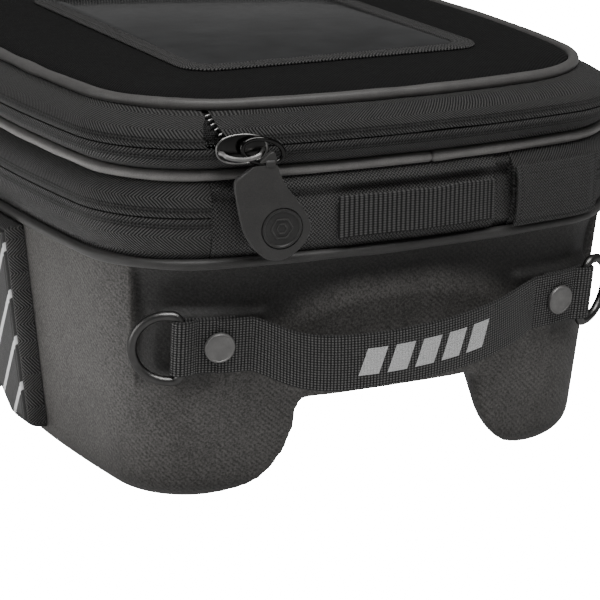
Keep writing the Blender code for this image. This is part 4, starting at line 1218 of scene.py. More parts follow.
def build_lid_band():
    bulge = LID_BULGE
    lower = [(MID_OFFSET - 1 * MM, MID_Z + 2.1 * MM), (2.6 * MM, MID_Z + 6.2 * MM),
             (bulge, LID_ZIP_Z - 3.7 * MM), (bulge, LID_ZIP_Z - 0.25 * MM)]
    section, v = cushion(lower, TAPE_THICKNESS, 0.6 * MM)
    edge = outer_length(lower, 0.6 * MM)
    low = sweep("lid_tape_low", section, v, TAPE, relief=pucker(13, 0.25 * MM, edge), zip_edge=edge)
    install(low, "expansion_frame", "zip_tape", "lid_zip_lower_tape")
    cloth(low, run(0, 360, bulge), "stretched", "middle_cord")
    raised = [(bulge, LID_ZIP_Z + 0.25 * MM, CORNER), (bulge, LID_ZIP_Z + 2.8 * MM, CORNER),
              (3.3 * MM, LID_ZIP_Z + 6 * MM, CORNER + 1.5 * MM),
              (-1.2 * MM, LID_ZIP_Z + 9.5 * MM, CORNER + 7 * MM),
              (TOP_OFFSET + 1.0 * MM, TOP_Z - 2.2 * MM, TOP_EXTRA - 1 * MM)]
    section, v = cushion(raised, TAPE_THICKNESS, 0.6 * MM)
    length = outer_length(raised, 0.6 * MM)
    stop_left = along(rear_heading(NOTCH_LEFT, bulge))
    start_right = along(rear_heading(NOTCH_RIGHT, bulge))

    def notch(u, vv, start, stop):
        """The right-hand end leans back to the top piping; the left-hand end has a rounded upper corner."""
        share = np.clip(vv / length, 0, 1)
        near = np.clip(1 - (u - start) / (30 * MM), 0, 1)
        near_end = np.clip(1 - (stop - u) / (20 * MM), 0, 1)
        lean = -20.0 * MM * share * near - 8.0 * MM * share * near_end
        radius = 5.5 * MM
        high = np.clip((vv - (length - radius)) / radius, 0, 1)
        rounding = -radius * (1 - np.sqrt(1 - high ** 2)) * near_end
        return u + lean + rounding

    gathers = pucker(14, 0.25 * MM, length, True)

    def relief(u, vv):
        out, up = gathers(u, vv)
        near = hump(u, start_right, 7 * MM) * (u > start_right - 12 * MM)
        glint = hump(u, along(rear_heading(0.018, LID_BULGE)), 14 * MM)
        return out + 0.6 * MM * near, up + 0.35 * MM * glint * np.clip(1 - vv / (5 * MM), 0, 1)

    high = sweep("lid_tape_high", section, v, TAPE, heading_along(start_right),
                 heading_along(stop_left + ROUND), relief=relief, shear=notch)
    install(high, "lid", "zip_tape", "lid_zip_upper_tape")
    cloth(high, float(stop_left + ROUND - start_right), "stretched", "top_cord")
    backing = [(-0.2 * MM, LID_ZIP_Z + 0.8 * MM, CORNER), (-0.6 * MM, LID_ZIP_Z + 5 * MM, CORNER + 1 * MM),
               (-4.6 * MM, LID_ZIP_Z + 9.0 * MM, CORNER + 7 * MM),
               (-10.5 * MM, LID_ZIP_Z + 12.4 * MM, TOP_EXTRA - 1 * MM)]
    section, v = cushion(backing, 0.8 * MM, 1.0 * MM)
    # the tongue's darker nylon is painted shade in the gap behind the notch
    tongue = sweep("zip_end_tongue", section, v, TONGUE_PAINTED_SHADE, heading_along(stop_left - 12 * MM),
                   heading_along(start_right + 12 * MM), step=1.2 * MM)
    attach(tongue, "lid")
    cloth(tongue, float(start_right - stop_left) + 24 * MM, "stretched", "lid_tape_high")
    coil_offset = bulge - COIL_DEPTH
    first = HINGE_LAST - 360 + 1
    last = HINGE_FIRST - 1
    coil_low = zip_coil("lid_coil_low", coil_offset, LID_ZIP_Z - COIL_HALF_GAP, first, last, 1)
    install(coil_low, "expansion_frame", "zip_coil", "lid_zip_lower_coil")
    coil_high = zip_coil("lid_coil_high", coil_offset, LID_ZIP_Z + COIL_HALF_GAP, first, last, -1)
    install(coil_high, "lid", "zip_coil", "lid_zip_upper_coil")
    # end of the coil, which climbs from the slider to the top piping on the edge of the tape
    teeth = []
    smooth = smooth_path(raised, 0.6 * MM)
    distance = distances(smooth[:, :2])
    for index in range(6):
        share = 0.17 + 0.135 * index
        spot = [np.interp(share * length, distance, smooth[:, k]) for k in range(3)]
        ahead = [np.interp(share * length + 1 * MM, distance, smooth[:, k]) for k in range(3)]
        s = start_right - 20.0 * MM * share - 1.2 * MM
        base_point = np.array([*plan(heading_along(s), spot[0] + 0.35 * MM, spot[2]), spot[1]])
        up_point = np.array([*plan(heading_along(s - 1.0 * MM), ahead[0] + 0.35 * MM, ahead[2]), ahead[1]])
        side_point = np.array([*plan(heading_along(s + 1 * MM), spot[0] + 0.35 * MM, spot[2]), spot[1]])
        up = (up_point - base_point) / np.linalg.norm(up_point - base_point)
        side = (side_point - base_point) / np.linalg.norm(side_point - base_point)
        lean = side * 0.86 + up * 0.50
        path = [base_point + lean * t * 1.7 * MM for t in np.linspace(-1, 1, 7)]
        radius = [0.3 * MM, 0.55 * MM, 0.62 * MM, 0.62 * MM, 0.62 * MM, 0.55 * MM, 0.3 * MM]
        # the teeth are in the lighter nickel: painted highlight standing for the coil's glints
        tooth = tube("tooth", path, radius, NICKEL_PAINTED_HIGHLIGHT, sides=10, closed=False, flat=np.cross(side, up))
        teeth.append(tooth)
    end = merge("zip_end_teeth", teeth)
    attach(end, "lid")
    strip = [(-2.2 * MM, LID_ZIP_Z - 7 * MM), (2.0 * MM, LID_ZIP_Z - 1 * MM), (2.0 * MM, LID_ZIP_Z + 1 * MM),
             (-0.2 * MM, LID_ZIP_Z + 6 * MM)]
    section, v = cushion(strip, 0.9 * MM, 0.7 * MM)
    hinge = sweep("lid_hinge_cloth", section, v, NYLON, HINGE_FIRST, HINGE_LAST, step=1.5 * MM)
    hinge_cloth(hinge, "expansion_frame", "lid", (0, 0, LID_ZIP_Z - 4 * MM), (0, 0, LID_ZIP_Z + 4 * MM),
                "nylon", "lid_hinge_strip")
    cloth(hinge, run(HINGE_FIRST, HINGE_LAST), "stretched", "lid_tape_low", "lid_tape_high")


def dome(name, rows, look):
    """A padded panel from the middle out: rows of (offset, z, extra), with a flat underside."""
    headings = heading_along(np.linspace(-ROUND / 2, ROUND / 2, 361)[:-1])
    rings = []
    for offset, z, extra in rows:
        x, y = plan(headings, offset, extra)
        rings.append(np.stack([x, y, np.full_like(x, z)], 1))
    return lofted(name, rings, look, 50)


WINDOW = (136 * MM, 186 * MM)      # width and length
WINDOW_CORNER = 10 * MM
# (inset from the lid's edge, height over the top piping) of the pad and of the board under it, in mm
PAD_PROFILE = ((1.0, -2.4), (0.2, -2.0), (0, -1.2), (0, 0.2), (0.5, 1.1), (2.2, 2.1), (4.5, 2.75), (8, 3.4),
               (13, 4.0), (19, 4.35), (27, 4.6), (36, 4.78), (48, 4.8), (70, 4.8), (95, 4.8))
BOARD_PROFILE = ((1.2, -5.2), (0.4, -5.0), (0, -4.6), (0, -3.4), (0.6, -2.9))
# (share of the way in, height over the lid in mm) round the binding; the two dips are its seams
BINDING_PROFILE = ((0, 0.3), (-0.02, 0.8), (0.02, 1.35), (0.1, 1.6), (0.2, 1.7), (0.26, 1.45), (0.32, 1.7),
                   (0.5, 1.8), (0.68, 1.7), (0.74, 1.45), (0.8, 1.7), (0.92, 1.6), (0.98, 1.4), (1, 0.9),
                   (1, 0.3))
BINDING_WIDTH = 10 * MM
BINDING_CORNER = 16 * MM


def build_lid_top():
    edge = TOP_OFFSET - PIPING_RADIUS - 0.7 * MM
    rows = []
    for inset, z in PAD_PROFILE:
        rows.append((edge - inset * MM, TOP_Z + z * MM, TOP_EXTRA - inset * 0.2 * MM))
    panel = dome("lid_pad", rows, LID)
    install(panel, "lid", "lid_fabric", "lid_panel")
    inset = edge - 4 * MM
    rows = []
    for step, z in BOARD_PROFILE:
        rows.append((inset - step * MM, TOP_Z + z * MM, TOP_EXTRA))
    board = dome("lid_lining_board", rows, LINING)
    install(board, "lid", "board", "lid_stiffener")
    window = plate("window_sheet", rounded(*WINDOW, WINDOW_CORNER), CROWN_Z + 0.3 * MM,
                   CROWN_Z + 1.0 * MM, VINYL, 0.25 * MM)
    lay_flat = Matrix(((1, 0, 0, 0), (0, 0, 1, CENTRE_Y), (0, 1, 0, 0), (0, 0, 0, 1)))
    place(window, lay_flat)
    outward(window.data)
    install(window, "lid", "clear_vinyl", "map_window")
    cloth(window, WINDOW[1], "laid", "lid_pad")
    outer = np.array(rounded(*(side + 2 * BINDING_WIDTH for side in WINDOW), BINDING_CORNER))
    inner = np.array(rounded(*(side + 0.8 * MM for side in WINDOW), WINDOW_CORNER + 0.4 * MM))
    length = distances(np.vstack([outer, outer[:1]]))
    points, vs = [], []
    for share, height in BINDING_PROFILE:
        xy = outer + (inner - outer) * share
        level = np.full(len(xy), CROWN_Z + height * MM)
        points.append(np.column_stack([xy[:, 0], xy[:, 1] + CENTRE_Y, level]))
        vs.append(share * BINDING_WIDTH)
    grid = np.stack(points, 1)
    uu, vv = np.meshgrid(length, vs + [vs[0]], indexing="ij")
    binding = make("window_frame_cloth", surface("binding", grid, uu, vv, True, True), NYLON)
    install(binding, "lid", "binding", "map_window_binding")
    cloth(binding, float(length[-1]), "laid", "lid_pad", "window_sheet")


# ---------------------------------------------------------------- handle, rivets and rings

LAYER = 1.1 * MM
OVER_LAYER = 3.0 * MM
BAR_OFF_WALL = 4.55 * MM
RING_WIRE = 2.2 * MM
RING_HEADING = 27.0
RING_HEIGHT = 31.5 * MM
RING_REACH = 21.5 * MM
# how far the handle hangs down along X, in mm
SAG = [(-73.5, 0), (-66, 3.2), (-58, 7.0), (-50, 9.3), (-40, 10.3), (-24, 10.3), (-8, 9.7), (8, 8.6),
       (24, 7.2), (40, 5.3), (56, 2.9), (66, 1.1), (73.5, 0)]
# (radius, height) of the rivet's cap and shank and of its washer, in mm
CAP_PROFILE = ((0, 2.05), (3.2, 2.05), (5.6, 1.98), (6.0, 1.95), (6.25, 2.15), (6.6, 2.2), (6.9, 2.0),
               (7.12, 1.5), (7.15, 0.9), (7.0, 0.3), (6.7, 0.0), (2.0, 0.0), (2.0, -7.6), (0, -7.6))
WASHER_PROFILE = ((0, 1.2), (5.4, 1.2), (5.9, 1.0), (6.0, 0.6), (5.9, 0.1), (5.6, 0), (0, 0))
HANDLE_BOW = 15 * MM
HANDLE_REACH = SAG[-1][0]


def wall_frame(side, heading, z, off):
    """Matrix of a frame on the wall: X along it, Y into the bag and Z up the wall's slope."""
    x, y = point_at(heading, wall_offset(z))
    turn = math.radians(heading)
    out = Vector((math.sin(turn), -math.cos(turn), 0))
    up = (out * DRAFT + Vector((0, 0, 1))).normalized()
    along_wall = Vector((math.cos(turn), math.sin(turn), 0))
    matrix = Matrix((along_wall, up.cross(along_wall), up)).transposed().to_4x4()
    matrix.translation = (x, y, z)
    matrix @= Matrix.Translation((0, -off, 0))
    if side < 0:
        matrix = Matrix.Diagonal((-1, 1, 1, 1)) @ matrix @ Matrix.Diagonal((-1, 1, 1, 1))
    return matrix


def strap_half(side):
    """Half of the handle: from behind the rivet, round the ring's bar and over the rivet to the middle."""
    corner_radius = CORNER + wall_offset(RIVET_Z)
    bar = math.radians(RING_HEADING - END_BOW) * corner_radius
    reach = RING_WIRE + 0.25 * MM + WEB_THICKNESS / 2
    near = [(-9.5 * MM, LAYER), (4 * MM, LAYER), (bar - 3 * MM, LAYER)]
    for step in range(9):
        turn = math.radians(-80 + 190 * step / 8)
        near.append((bar + reach * math.cos(turn), BAR_OFF_WALL + reach * math.sin(turn)))
    near += [(bar - 4.2 * MM, 5.5 * MM), (7.8 * MM, OVER_LAYER), (0, OVER_LAYER)]
    near = smooth_path([(*p, 0) for p in near], 0.8 * MM)
    levels = np.linspace(-WEB_WIDTH / 2, WEB_WIDTH / 2, 15)
    sag_x, sag_z = np.array(SAG).T
    fine = np.linspace(-HANDLE_REACH, HANDLE_REACH, 295)
    kernel = np.hanning(41)
    kernel /= kernel.sum()
    dense = np.interp(fine, sag_x, sag_z)
    dense = np.convolve(np.pad(dense, 20, mode="edge"), kernel, mode="valid")
    rows = []
    corner_x = point_at(END_BOW, wall_offset(RIVET_Z))[0]
    end_radius = corner_x / math.sin(math.radians(END_BOW))
    for distance, off, _ in near:
        row = []
        for level in levels:
            z = RIVET_Z + level
            radius = CORNER + wall_offset(z) if distance > 0 else end_radius
            heading = END_BOW + math.degrees(distance / radius)
            x, y = point_at(heading, wall_offset(z) + off)
            row.append((side * x, y, z))
        rows.append(row)
    for x in np.arange(corner_x - 0.8 * MM, -0.1 * MM, -0.8 * MM):
        x = max(x, 0.0)
        free = max(0.0, 1 - (x / (HANDLE_REACH * MM)) ** 2.3)
        drop = float(np.interp(side * x / MM, fine, dense)) * MM
        off = OVER_LAYER + HANDLE_BOW * free
        heading = rear_heading(x, wall_offset(RIVET_Z))
        row = []
        for level in levels:
            z = RIVET_Z + level
            lean = (wall_offset(z) - wall_offset(RIVET_Z)) * (1 - min(1, free * 3))
            curl = 0.5 * MM * free * (level / (WEB_WIDTH / 2)) ** 2
            px, py = point_at(heading, wall_offset(RIVET_Z) + off + lean - curl)
            row.append((side * px, py, z - drop))
        rows.append(row)
    rows[-1] = [(0.0, y, z) for _, y, z in rows[-1]]
    rows = np.array(rows)
    # an even distance along the strap, counted from its middle
    length = distances(rows[:, 7])
    u = side * (length[-1] - length)
    word = "left" if side < 0 else "right"
    half = ribbon("handle_" + word, rows, WEB_THICKNESS - 0.1 * MM, WEBBING, u, levels + WEB_WIDTH / 2)
    hinge_cloth(half, "base", "carry_handle", (side * 76 * MM, 0, 0), (side * 56 * MM, 0, 0), "webbing",
                "strap_end_" + word, *(["carry_handle"] if side > 0 else []))
    cloth(half, float(length[-1]), "hung", "shell", "ring_" + word)


def build_handle():
    for side, word in ((-1, "left"), (1, "right")):
        strap_half(side)
        cap_off = OVER_LAYER + WEB_THICKNESS / 2 + 0.2 * MM
        heading = rear_heading(RIVET_X, wall_offset(RIVET_Z))
        cap = turned("rivet_cap_" + word, [(r * MM, z * MM) for r, z in CAP_PROFILE], RIVET)
        place(cap, wall_frame(side, heading, RIVET_Z, cap_off) @ TURN_OUT)
        install(cap, "base", "gunmetal", "rivet_" + word)
        back = turned("rivet_back_" + word, [(r * MM, z * MM) for r, z in WASHER_PROFILE], RIVET)
        place(back, wall_frame(side, heading, RIVET_Z, -WALL - 2.1 * MM) @ TURN_OUT)
        install(back, "base", "gunmetal", "rivet_washer_" + word)
        half = RING_HEIGHT / 2
        centre = RING_REACH - half
        outline = []
        soft = 4.0 * MM
        for t in np.linspace(-1, 1, 21):
            outline.append((0, t * (half - soft)))
        for t in np.linspace(0, math.pi / 2, 9)[1:]:
            outline.append((soft * (1 - math.cos(t)), half - soft + soft * math.sin(t)))
        for t in np.linspace(math.pi / 2, -math.pi / 2, 41):
            outline.append((centre + half * math.cos(t), half * math.sin(t)))
        for t in np.linspace(math.pi / 2, 0, 9)[:-1]:
            outline.append((soft * (1 - math.cos(t)), -(half - soft + soft * math.sin(t))))
        keep = []
        for point in outline:
            if not keep or math.dist(point, keep[-1]) > 0.3 * MM:
                keep.append(point)
        path = [(side * x, 0, z) for x, z in keep]
        ring = tube("ring_" + word, path, RING_WIRE, GUNMETAL, sides=20, flat=(0, 1, 0))
        place(ring, wall_frame(side, RING_HEADING, RIVET_Z, BAR_OFF_WALL))
        install(ring, "d_ring_" + word, "gunmetal", "d_ring_" + word)


# ---------------------------------------------------------------- zip pull

SLIDER_X = -0.0825
LINK_OFF = 6.0 * MM
LINK_X = 11.8 * MM
LINK_Z = -1.2 * MM
LINK_TILT = math.radians(-14)
EYE_BELOW_LINK = 5.1 * MM
BUTTON_CENTRE = (5.0 * MM, 0, -29.0 * MM)
BUTTON_SEAT = 9.6 * MM
PULL_LENGTH = 44 * MM
# (x, z, stand-off) along the slider's bridge, (x, z) round the tab, (radius, height) of turned parts, in mm
BRIDGE_PATH = ((-9.0, -0.9, 1.6), (-8.6, -1.6, 4.6), (-7.2, -2.6, 6.6), (-4.0, -3.3, 8.0), (0.0, -3.5, 8.6),
               (4.0, -3.0, 8.2), (7.0, -1.9, 7.0), (8.6, -0.9, 4.6), (9.0, -0.4, 1.6))
TAB_OUTLINE = ((2.5, 4.0), (3.7, -2.1), (6.4, -9.1), (11.6, -16.2), (16.2, -23.2), (18.4, -28.8),
               (17.3, -33.7), (15.0, -37.6), (10.2, -42.0), (4.9, -43.8), (-0.4, -43.2), (-4.1, -40.9),
               (-7.2, -37.9), (-10.2, -33.7), (-12.4, -29.5), (-14.2, -23.2), (-15.5, -16.2),
               (-16.4, -9.6), (-15.8, -6.6), (-13.9, -4.9), (-9.4, -1.9), (-4.2, 1.6), (-0.9, 4.4), (0.9, 5.2))
EYE_PROFILE = ((0, 2.3), (1.8, 2.2), (2.05, 1.8), (2.15, 1.2), (2.15, -1.2), (2.05, -1.8),
               (1.8, -2.2), (0, -2.3))
BUTTON_PROFILE = ((0, 1.0), (7.3, 1.0), (7.7, 1.1), (8.0, 1.7), (8.4, 1.9), (8.9, 1.75), (9.2, 1.2),
                  (9.25, 0.5), (9.2, 0.1), (0, 0.1))
PULL_BOW = 2.2 * MM
TURN_OUT = Matrix.Rotation(math.radians(90), 4, "X")     # from a turned piece's own axis to out of the bag
TURN_ALONG = Matrix.Rotation(math.radians(90), 4, "Y")


def zip_matrix(x, offset, z):
    heading = rear_heading(x, offset)
    px, py = point_at(heading, offset)
    matrix = Matrix.Rotation(math.radians(heading), 4, "Z")
    matrix.translation = (px, py, z)
    return matrix


def oval(width, height, power=2.6, count=64):
    points = []
    for k in range(count):
        turn = 2 * math.pi * k / count
        c, s = math.cos(turn), math.sin(turn)
        points.append((math.copysign(abs(c) ** (2 / power), c) * width / 2,
                       math.copysign(abs(s) ** (2 / power), s) * height / 2))
    return points


def build_pull():
    frame_matrix = zip_matrix(SLIDER_X, LID_BULGE, LID_ZIP_Z)
    body = plate("slider_body", oval(23.5 * MM, 13.5 * MM, 2.3), -2.7 * MM, -0.7 * MM, NICKEL, 0.7 * MM, 4)
    path = closed_curve([(x * MM, -y * MM, z * MM) for x, z, y in BRIDGE_PATH], 4)[:33]
    rows = np.stack([path + np.array([0, 0, w * MM]) for w in np.linspace(-0.65, 0.65, 5)], 1)
    # the bridge and the rail are in the lighter nickel: painted highlight on the slider's black nickel
    bridge = ribbon("bridge", rows, 1.5 * MM, NICKEL_PAINTED_HIGHLIGHT)
    rail = tube("rail", [(x, -2.75 * MM, z) for x, z in oval(22.9 * MM, 12.9 * MM, 2.3)],
                0.42 * MM, NICKEL_PAINTED_HIGHLIGHT, sides=10, flat=(0, 1, 0))
    slider = merge("slider", [body, bridge, rail])
    crisp(slider, 40)
    place(slider, frame_matrix)
    install(slider, "lid_slider", "black_nickel", "lid_slider")
    tilt = LINK_TILT
    path = []
    for t in np.linspace(0, 2 * math.pi, 60, endpoint=False):
        x, z = 9.6 * MM * math.cos(t), 5.4 * MM * math.sin(t)
        path.append((LINK_X - 3.2 * MM + x * math.cos(tilt) - z * math.sin(tilt), -LINK_OFF,
                     LINK_Z + 0.4 * MM + x * math.sin(tilt) + z * math.cos(tilt)))
    link = tube("link_ring", path, 1.1 * MM, NICKEL, sides=16, flat=(0, 1, 0))
    place(link, frame_matrix)
    install(link, "pull_link", "black_nickel", "pull_link")
    pull_matrix = frame_matrix @ Matrix.Translation((LINK_X, -LINK_OFF, LINK_Z - EYE_BELOW_LINK))
    curve = closed_curve([(x * MM, z * MM) for x, z in TAB_OUTLINE], 5)
    tab = plate("tab", curve, -1.4 * MM, 1.4 * MM, RUBBER, 0.75 * MM, 4)
    on_button = Matrix.Translation(BUTTON_CENTRE)
    seat = turned("seat", [(0, 3 * MM), (BUTTON_SEAT, 3 * MM), (BUTTON_SEAT, 0), (0, 0)], RUBBER, 64)
    place(seat, on_button @ Matrix.Translation((0, 0.3 * MM, 0)) @ TURN_OUT)
    combine(tab, seat)
    eye = turned("eye", [(r * MM, z * MM) for r, z in EYE_PROFILE], RUBBER, 32)
    place(eye, TURN_ALONG)
    combine(tab, eye, "UNION")
    bore = turned("bore", [(0, 9 * MM), (1.5 * MM, 9 * MM), (1.5 * MM, -9 * MM), (0, -9 * MM)], RUBBER, 24)
    place(bore, TURN_ALONG)
    combine(tab, bore)
    tab.data.materials.clear()
    tab.data.materials.append(RUBBER)
    crisp(tab, 35)
    add_flat_uv(tab)
    bow(tab)
    place(tab, pull_matrix)
    install(tab, "zip_pull", "rubber", "pull_tab")
    button = turned("disc", [(r * MM, z * MM) for r, z in BUTTON_PROFILE], BUTTON, 64)
    emblem = []
    for radius, width in ((4.9, 0.8), (2.4, 0.7)):
        turns = [math.radians(60 * k) for k in range(6)]
        corners = np.array([(radius * math.cos(turn), radius * math.sin(turn), 1.15) for turn in turns]) * MM
        line = []
        for k in range(6):
            start, end = corners[k], corners[(k + 1) % 6]
            line += [start + (end - start) * t for t in (0.08, 0.3, 0.5, 0.7, 0.92)]
        emblem.append(tube("emblem", line, width / 2 * MM, RUBBER, sides=8, flat=(0, 0, 1)))
    button = merge("button_disc", [button] + emblem)
    crisp(button, 40)
    place(button, on_button @ Matrix.Translation((0, 0.15 * MM, 0)) @ TURN_OUT)
    bow(button)
    place(button, pull_matrix)
    install(button, "zip_pull", "rubber", "pull_button")


def bow(item):
    """Bow the hanging pull out in the middle; its eye is at the origin."""
    work = bmesh.new()
    work.from_mesh(item.data)
    for step in range(1, 15):
        geometry = work.verts[:] + work.edges[:] + work.faces[:]
        bmesh.ops.bisect_plane(work, geom=geometry, plane_co=(0, 0, -3 * MM * step), plane_no=(0, 0, 1))
    work.to_mesh(item.data)
    work.free()
    for vertex in item.data.vertices:
        share = min(1.0, max(0.0, -vertex.co.z / PULL_LENGTH))
        vertex.co.y -= PULL_BOW * math.sin(math.pi * share) ** 1.2
    item.data.update()


def add_flat_uv(item):
    """UV map in metres over the X-Z plane, for flat pieces."""
    mesh = item.data
    for layer in list(mesh.uv_layers):
        mesh.uv_layers.remove(layer)
    layer = mesh.uv_layers.new(name="UVMap")
    co = np.array([mesh.vertices[loop.vertex_index].co[:] for loop in mesh.loops])
    layer.data.foreach_set("uv", co[:, [0, 2]].astype(np.float32).ravel())


# ---------------------------------------------------------------- side pockets

def gathered(t):
    """Steps from 0 to 1 that are closer together at both ends."""
    return t - 0.80 * np.sin(2 * math.pi * t) / (2 * math.pi)


POCKET_REAR = -0.050      # Y of the pockets' ends, from the side's middle
POCKET_FRONT = 0.098
POCKET_TOP = RIM_Z - 3.2 * MM
POCKET_BOTTOM = 12 * MM
ARCH_CLEARANCE = 4 * MM


def build_pockets():
    """Flat bellows pockets: black tape all round, with a striped panel in the middle."""
    high = POCKET_TOP
    rear = along(90 + side_heading_from(POCKET_REAR))
    front = along(90 + side_heading_from(POCKET_FRONT))
    spread = np.linspace(0, 1, 171)
    u = rear + (front - rear) * gathered(spread)
    t = gathered(np.linspace(0, 1, 101))
    for side, word in ((-1, "left"), (1, "right")):
        for name, look, deep, margin, nodes in (
                ("pocket_", TAPE, (0.6 * MM, 9.0 * MM), 0.0, "side_pocket_"),
                ("pocket_face_", PANEL, (8.9 * MM, 10.3 * MM), 3.2 * MM, "side_pocket_panel_")):
            uu, tt = np.meshgrid(u, t, indexing="ij")
            uu = rear + margin + (uu - rear) / (front - rear) * (front - rear - 2 * margin)
            y_line = plan(heading_along(uu))[1] - CENTRE_Y
            arch_half = SIDE_ARCH_HALF_LENGTH + ARCH_CLEARANCE
            arch = ARCH_CLEARANCE + SIDE_ARCH_HEIGHT * (1 + np.cos(math.pi * y_line / arch_half)) / 2
            arch = np.where(abs(y_line) < arch_half, arch, 0)
            low = np.maximum(POCKET_BOTTOM, arch) + margin
            z = low + (high - margin - low) * tt
            edge_u = np.minimum(uu - uu.min(), uu.max() - uu)
            edge_v = np.minimum(z - low, high - margin - z)
            edge = np.minimum(edge_u, edge_v)
            bend = 2.2 * MM if margin == 0 else 0.8 * MM
            rise = np.sqrt(np.clip(1 - (1 - np.clip(edge / bend, 0, 1)) ** 2, 0, 1))
            pillow = 0.5 * MM * ripple(uu, z, 0.05, 81) * np.clip(edge / (15 * MM), 0, 1)
            top = deep[0] + (deep[1] - deep[0]) * rise + np.minimum(pillow, 0.0)
            stitch = hump(edge, 1.8 * MM, 0.4 * MM) * (0.35 * MM if margin else 0.0)
            top = top - stitch
            front_face = np.stack([*plan(heading_along(uu), wall_offset(z) + top), z], -1)
            back_face = np.stack([*plan(heading_along(uu), wall_offset(z) + deep[0] - 0.1 * MM), z], -1)
            if side < 0:
                front_face[..., 0] *= -1
                back_face[..., 0] *= -1
            map_u, map_v = arc_map(front_face)
            if margin == 0:
                map_v = map_v + 0.1       # keeps the whole pocket clear of the tape's painted shade along the zip edge
            else:
                map_u, map_v = uu - uu.mean(), z
            piece = shell_between(name + word, front_face, back_face, map_u, map_v, look)
            install(piece, "base", "binding" if margin == 0 else "pocket_panel", nodes + word)
            if margin == 0:
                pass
            else:
                cloth(piece, float(front - rear) - 2 * margin, "laid", "pocket_" + word)


def side_heading_from(y):
    """Turn from the side's middle to where the side wall crosses y."""
    end_y = point_at(90 + SIDE_BOW)[1]
    return math.degrees(math.asin(y / ((end_y - CENTRE_Y) / math.sin(math.radians(SIDE_BOW)))))


def arc_map(points):
    """UV grids of a surface, as real distances from its middle both ways."""
    result = []
    for axis in (0, 1):
        gap = np.linalg.norm(np.diff(points, axis=axis), axis=2)
        start = np.zeros_like(gap.take([0], axis))
        distance = np.cumsum(np.concatenate([start, gap], axis), axis)
        middle = distance.take([distance.shape[axis] // 2], axis)
        result.append(distance - middle)
    return result


def shell_between(name, front, back, u, v, look):
    """Closed body between two matching grids of points."""
    nu, nv = front.shape[:2]
    points = np.vstack([front.reshape(-1, 3), back.reshape(-1, 3)])
    half = nu * nv
    faces = []
    grid_u, grid_v = u.ravel(), v.ravel()
    i, j = (grid.ravel() for grid in np.meshgrid(np.arange(nu - 1), np.arange(nv - 1), indexing="ij"))
    quads = np.stack([i * nv + j, (i + 1) * nv + j, (i + 1) * nv + j + 1, i * nv + j + 1], 1)
    faces += quads.tolist()
    faces += (quads[:, ::-1] + half).tolist()
    rim = ([k * nv for k in range(nu)] + [(nu - 1) * nv + k for k in range(1, nv)]
           + [k * nv + nv - 1 for k in range(nu - 2, -1, -1)] + [k for k in range(nv - 2, 0, -1)])
    for k, corner in enumerate(rim):
        after = rim[(k + 1) % len(rim)]
        faces.append((after, corner, corner + half, after + half))
    mesh = bpy.data.meshes.new(name)
    mesh.from_pydata(points.tolist(), [], faces)
    layer = mesh.uv_layers.new(name="UVMap")
    all_u = np.concatenate([grid_u, grid_u])
    all_v = np.concatenate([grid_v, grid_v])
    index = np.zeros(len(mesh.loops), int)
    mesh.loops.foreach_get("vertex_index", index)
    layer.data.foreach_set("uv", np.stack([all_u[index], all_v[index]], 1).astype(np.float32).ravel())
    return make(name, outward(mesh), look, 50)


# ---------------------------------------------------------------- assembly

def dress(node, look):
    """Give a CAD piece that stays shown its procedural finish."""
    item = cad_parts[node]
    item.data.materials.clear()
    item.data.materials.append(look)


FLOOR_GLOW = 30.0
CAMERA_PLACE = (-0.5438, -1.1110, 0.4217)
CAMERA_TURN = (-27.31, 16.84, 0.82)     # azimuth, elevation and roll, in degrees
CAMERA_LENS = 150.5
LIT_HEIGHT = 0.09                       # the soft lights face the bag's middle at this height
SKY = ((0.001, 0.44), (0.40, 0.40), (0.5, 0.14), (0.62, 0.08), (0.999, 0.09))     # from below to above
# name, place, size and power of each soft light; the two cards lie on the floor and face up
LIGHTS = (("left", (-1.60, 0.10, 0.34), (0.9, 0.8), 6), ("high", (-0.10, -0.80, 1.60), (1.5, 0.6), 26),
          ("right", (0.75, -1.70, 0.30), (0.9, 0.5), 0.8))
CARDS = (("rear_card", (0.02, -0.245, 0.0005), (0.42, 0.14), 0.24),
         ("left_card", (-0.235, -0.02, 0.0005), (0.12, 0.34), 0.75))


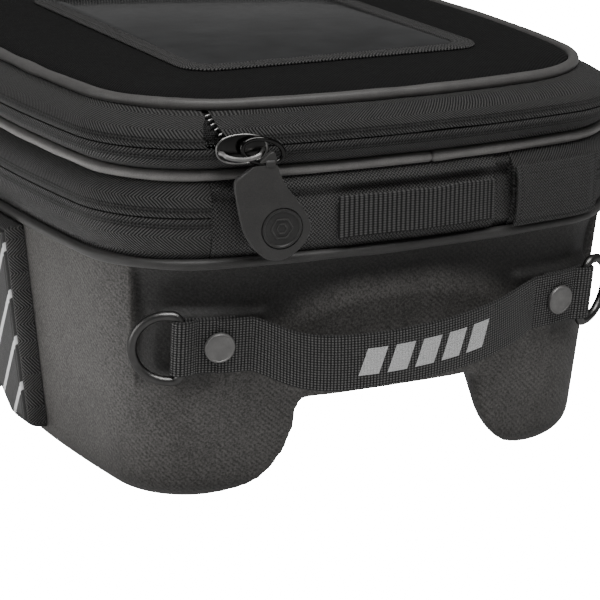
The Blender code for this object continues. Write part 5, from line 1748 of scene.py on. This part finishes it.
def studio():
    """Pale floor, soft light and the camera."""
    floor_mesh = bpy.data.meshes.new("floor")
    reach = 6.0
    corners = [(x * reach, y * reach, 0) for x, y in ((-1, -1), (1, -1), (1, 1), (-1, 1))]
    floor_mesh.from_pydata(corners, [], [(0, 1, 2, 3)])
    floor = bpy.data.objects.new("floor", floor_mesh)
    bpy.context.scene.collection.objects.link(floor)
    pale = bpy.data.materials.new("floor")
    pale.use_nodes = True
    shader = pale.node_tree.nodes["Principled BSDF"]
    shader.inputs["Base Color"].default_value = (0.92, 0.92, 0.92, 1)
    shader.inputs["Roughness"].default_value = 0.9
    shader.inputs["Specular IOR Level"].default_value = 0.1
    shader.inputs["Emission Color"].default_value = (1, 1, 1, 1)
    shader.inputs["Emission Strength"].default_value = FLOOR_GLOW
    floor_mesh.materials.append(pale)
    floor.location.z = -0.2 * MM
    floor.visible_diffuse = False
    floor.visible_glossy = False
    world = bpy.data.worlds.new("studio")
    bpy.context.scene.world = world
    world.use_nodes = True
    nodes = world.node_tree.nodes
    links = world.node_tree.links
    split = nodes.new("ShaderNodeSeparateXYZ")
    links.new(nodes.new("ShaderNodeTexCoord").outputs["Generated"], split.inputs[0])
    ramp = nodes.new("ShaderNodeValToRGB")
    turn = nodes.new("ShaderNodeMapRange")
    turn.inputs["From Min"].default_value = -1
    links.new(split.outputs["Z"], turn.inputs["Value"])
    links.new(turn.outputs["Result"], ramp.inputs["Fac"])
    for position, value in SKY:
        stop = ramp.color_ramp.elements.new(position)
        stop.color = (value, value, value, 1)
    ramp.color_ramp.elements.remove(ramp.color_ramp.elements[0])
    ramp.color_ramp.elements.remove(ramp.color_ramp.elements[-1])
    links.new(ramp.outputs["Color"], nodes["Background"].inputs["Color"])
    nodes["Background"].inputs["Strength"].default_value = 1.0
    for name, location, size, power in LIGHTS + CARDS:
        data = bpy.data.lights.new(name, "AREA")
        data.shape = "RECTANGLE"
        data.size, data.size_y = size
        data.energy = power
        light = bpy.data.objects.new(name, data)
        bpy.context.scene.collection.objects.link(light)
        light.location = location
        if name.endswith("card"):
            light.rotation_euler = (math.pi, 0, 0)
            light.visible_camera = False
            light.visible_glossy = False
        else:
            direction = Vector((0, 0, LIT_HEIGHT)) - light.location
            light.rotation_euler = direction.to_track_quat("-Z", "Y").to_euler()
    camera_data = bpy.data.cameras.new("camera")
    camera_data.sensor_width = 36.0
    camera_data.lens = CAMERA_LENS
    camera = bpy.data.objects.new("camera", camera_data)
    bpy.context.scene.collection.objects.link(camera)
    azimuth, elevation, roll = (math.radians(value) for value in CAMERA_TURN)
    back = Vector((math.sin(azimuth) * math.cos(elevation), -math.cos(azimuth) * math.cos(elevation),
                   math.sin(elevation)))
    right = Vector((0, 0, 1)).cross(back).normalized()
    up = back.cross(right)
    tilted = right * math.cos(roll) + up * math.sin(roll)
    upright = up * math.cos(roll) - right * math.sin(roll)
    matrix = Matrix((tilted, upright, back)).transposed().to_4x4()
    matrix.translation = CAMERA_PLACE
    camera.matrix_world = matrix
    bpy.context.scene.camera = camera


build_base()
build_pipings()
build_expansion()
build_rear_trim()
build_lid_band()
build_lid_top()
build_handle()
build_pull()
build_pockets()
dress("floor_board", BOARD)
dress("saddle_grip_mat", MAT)
dress("expansion_slider", NICKEL)
studio()
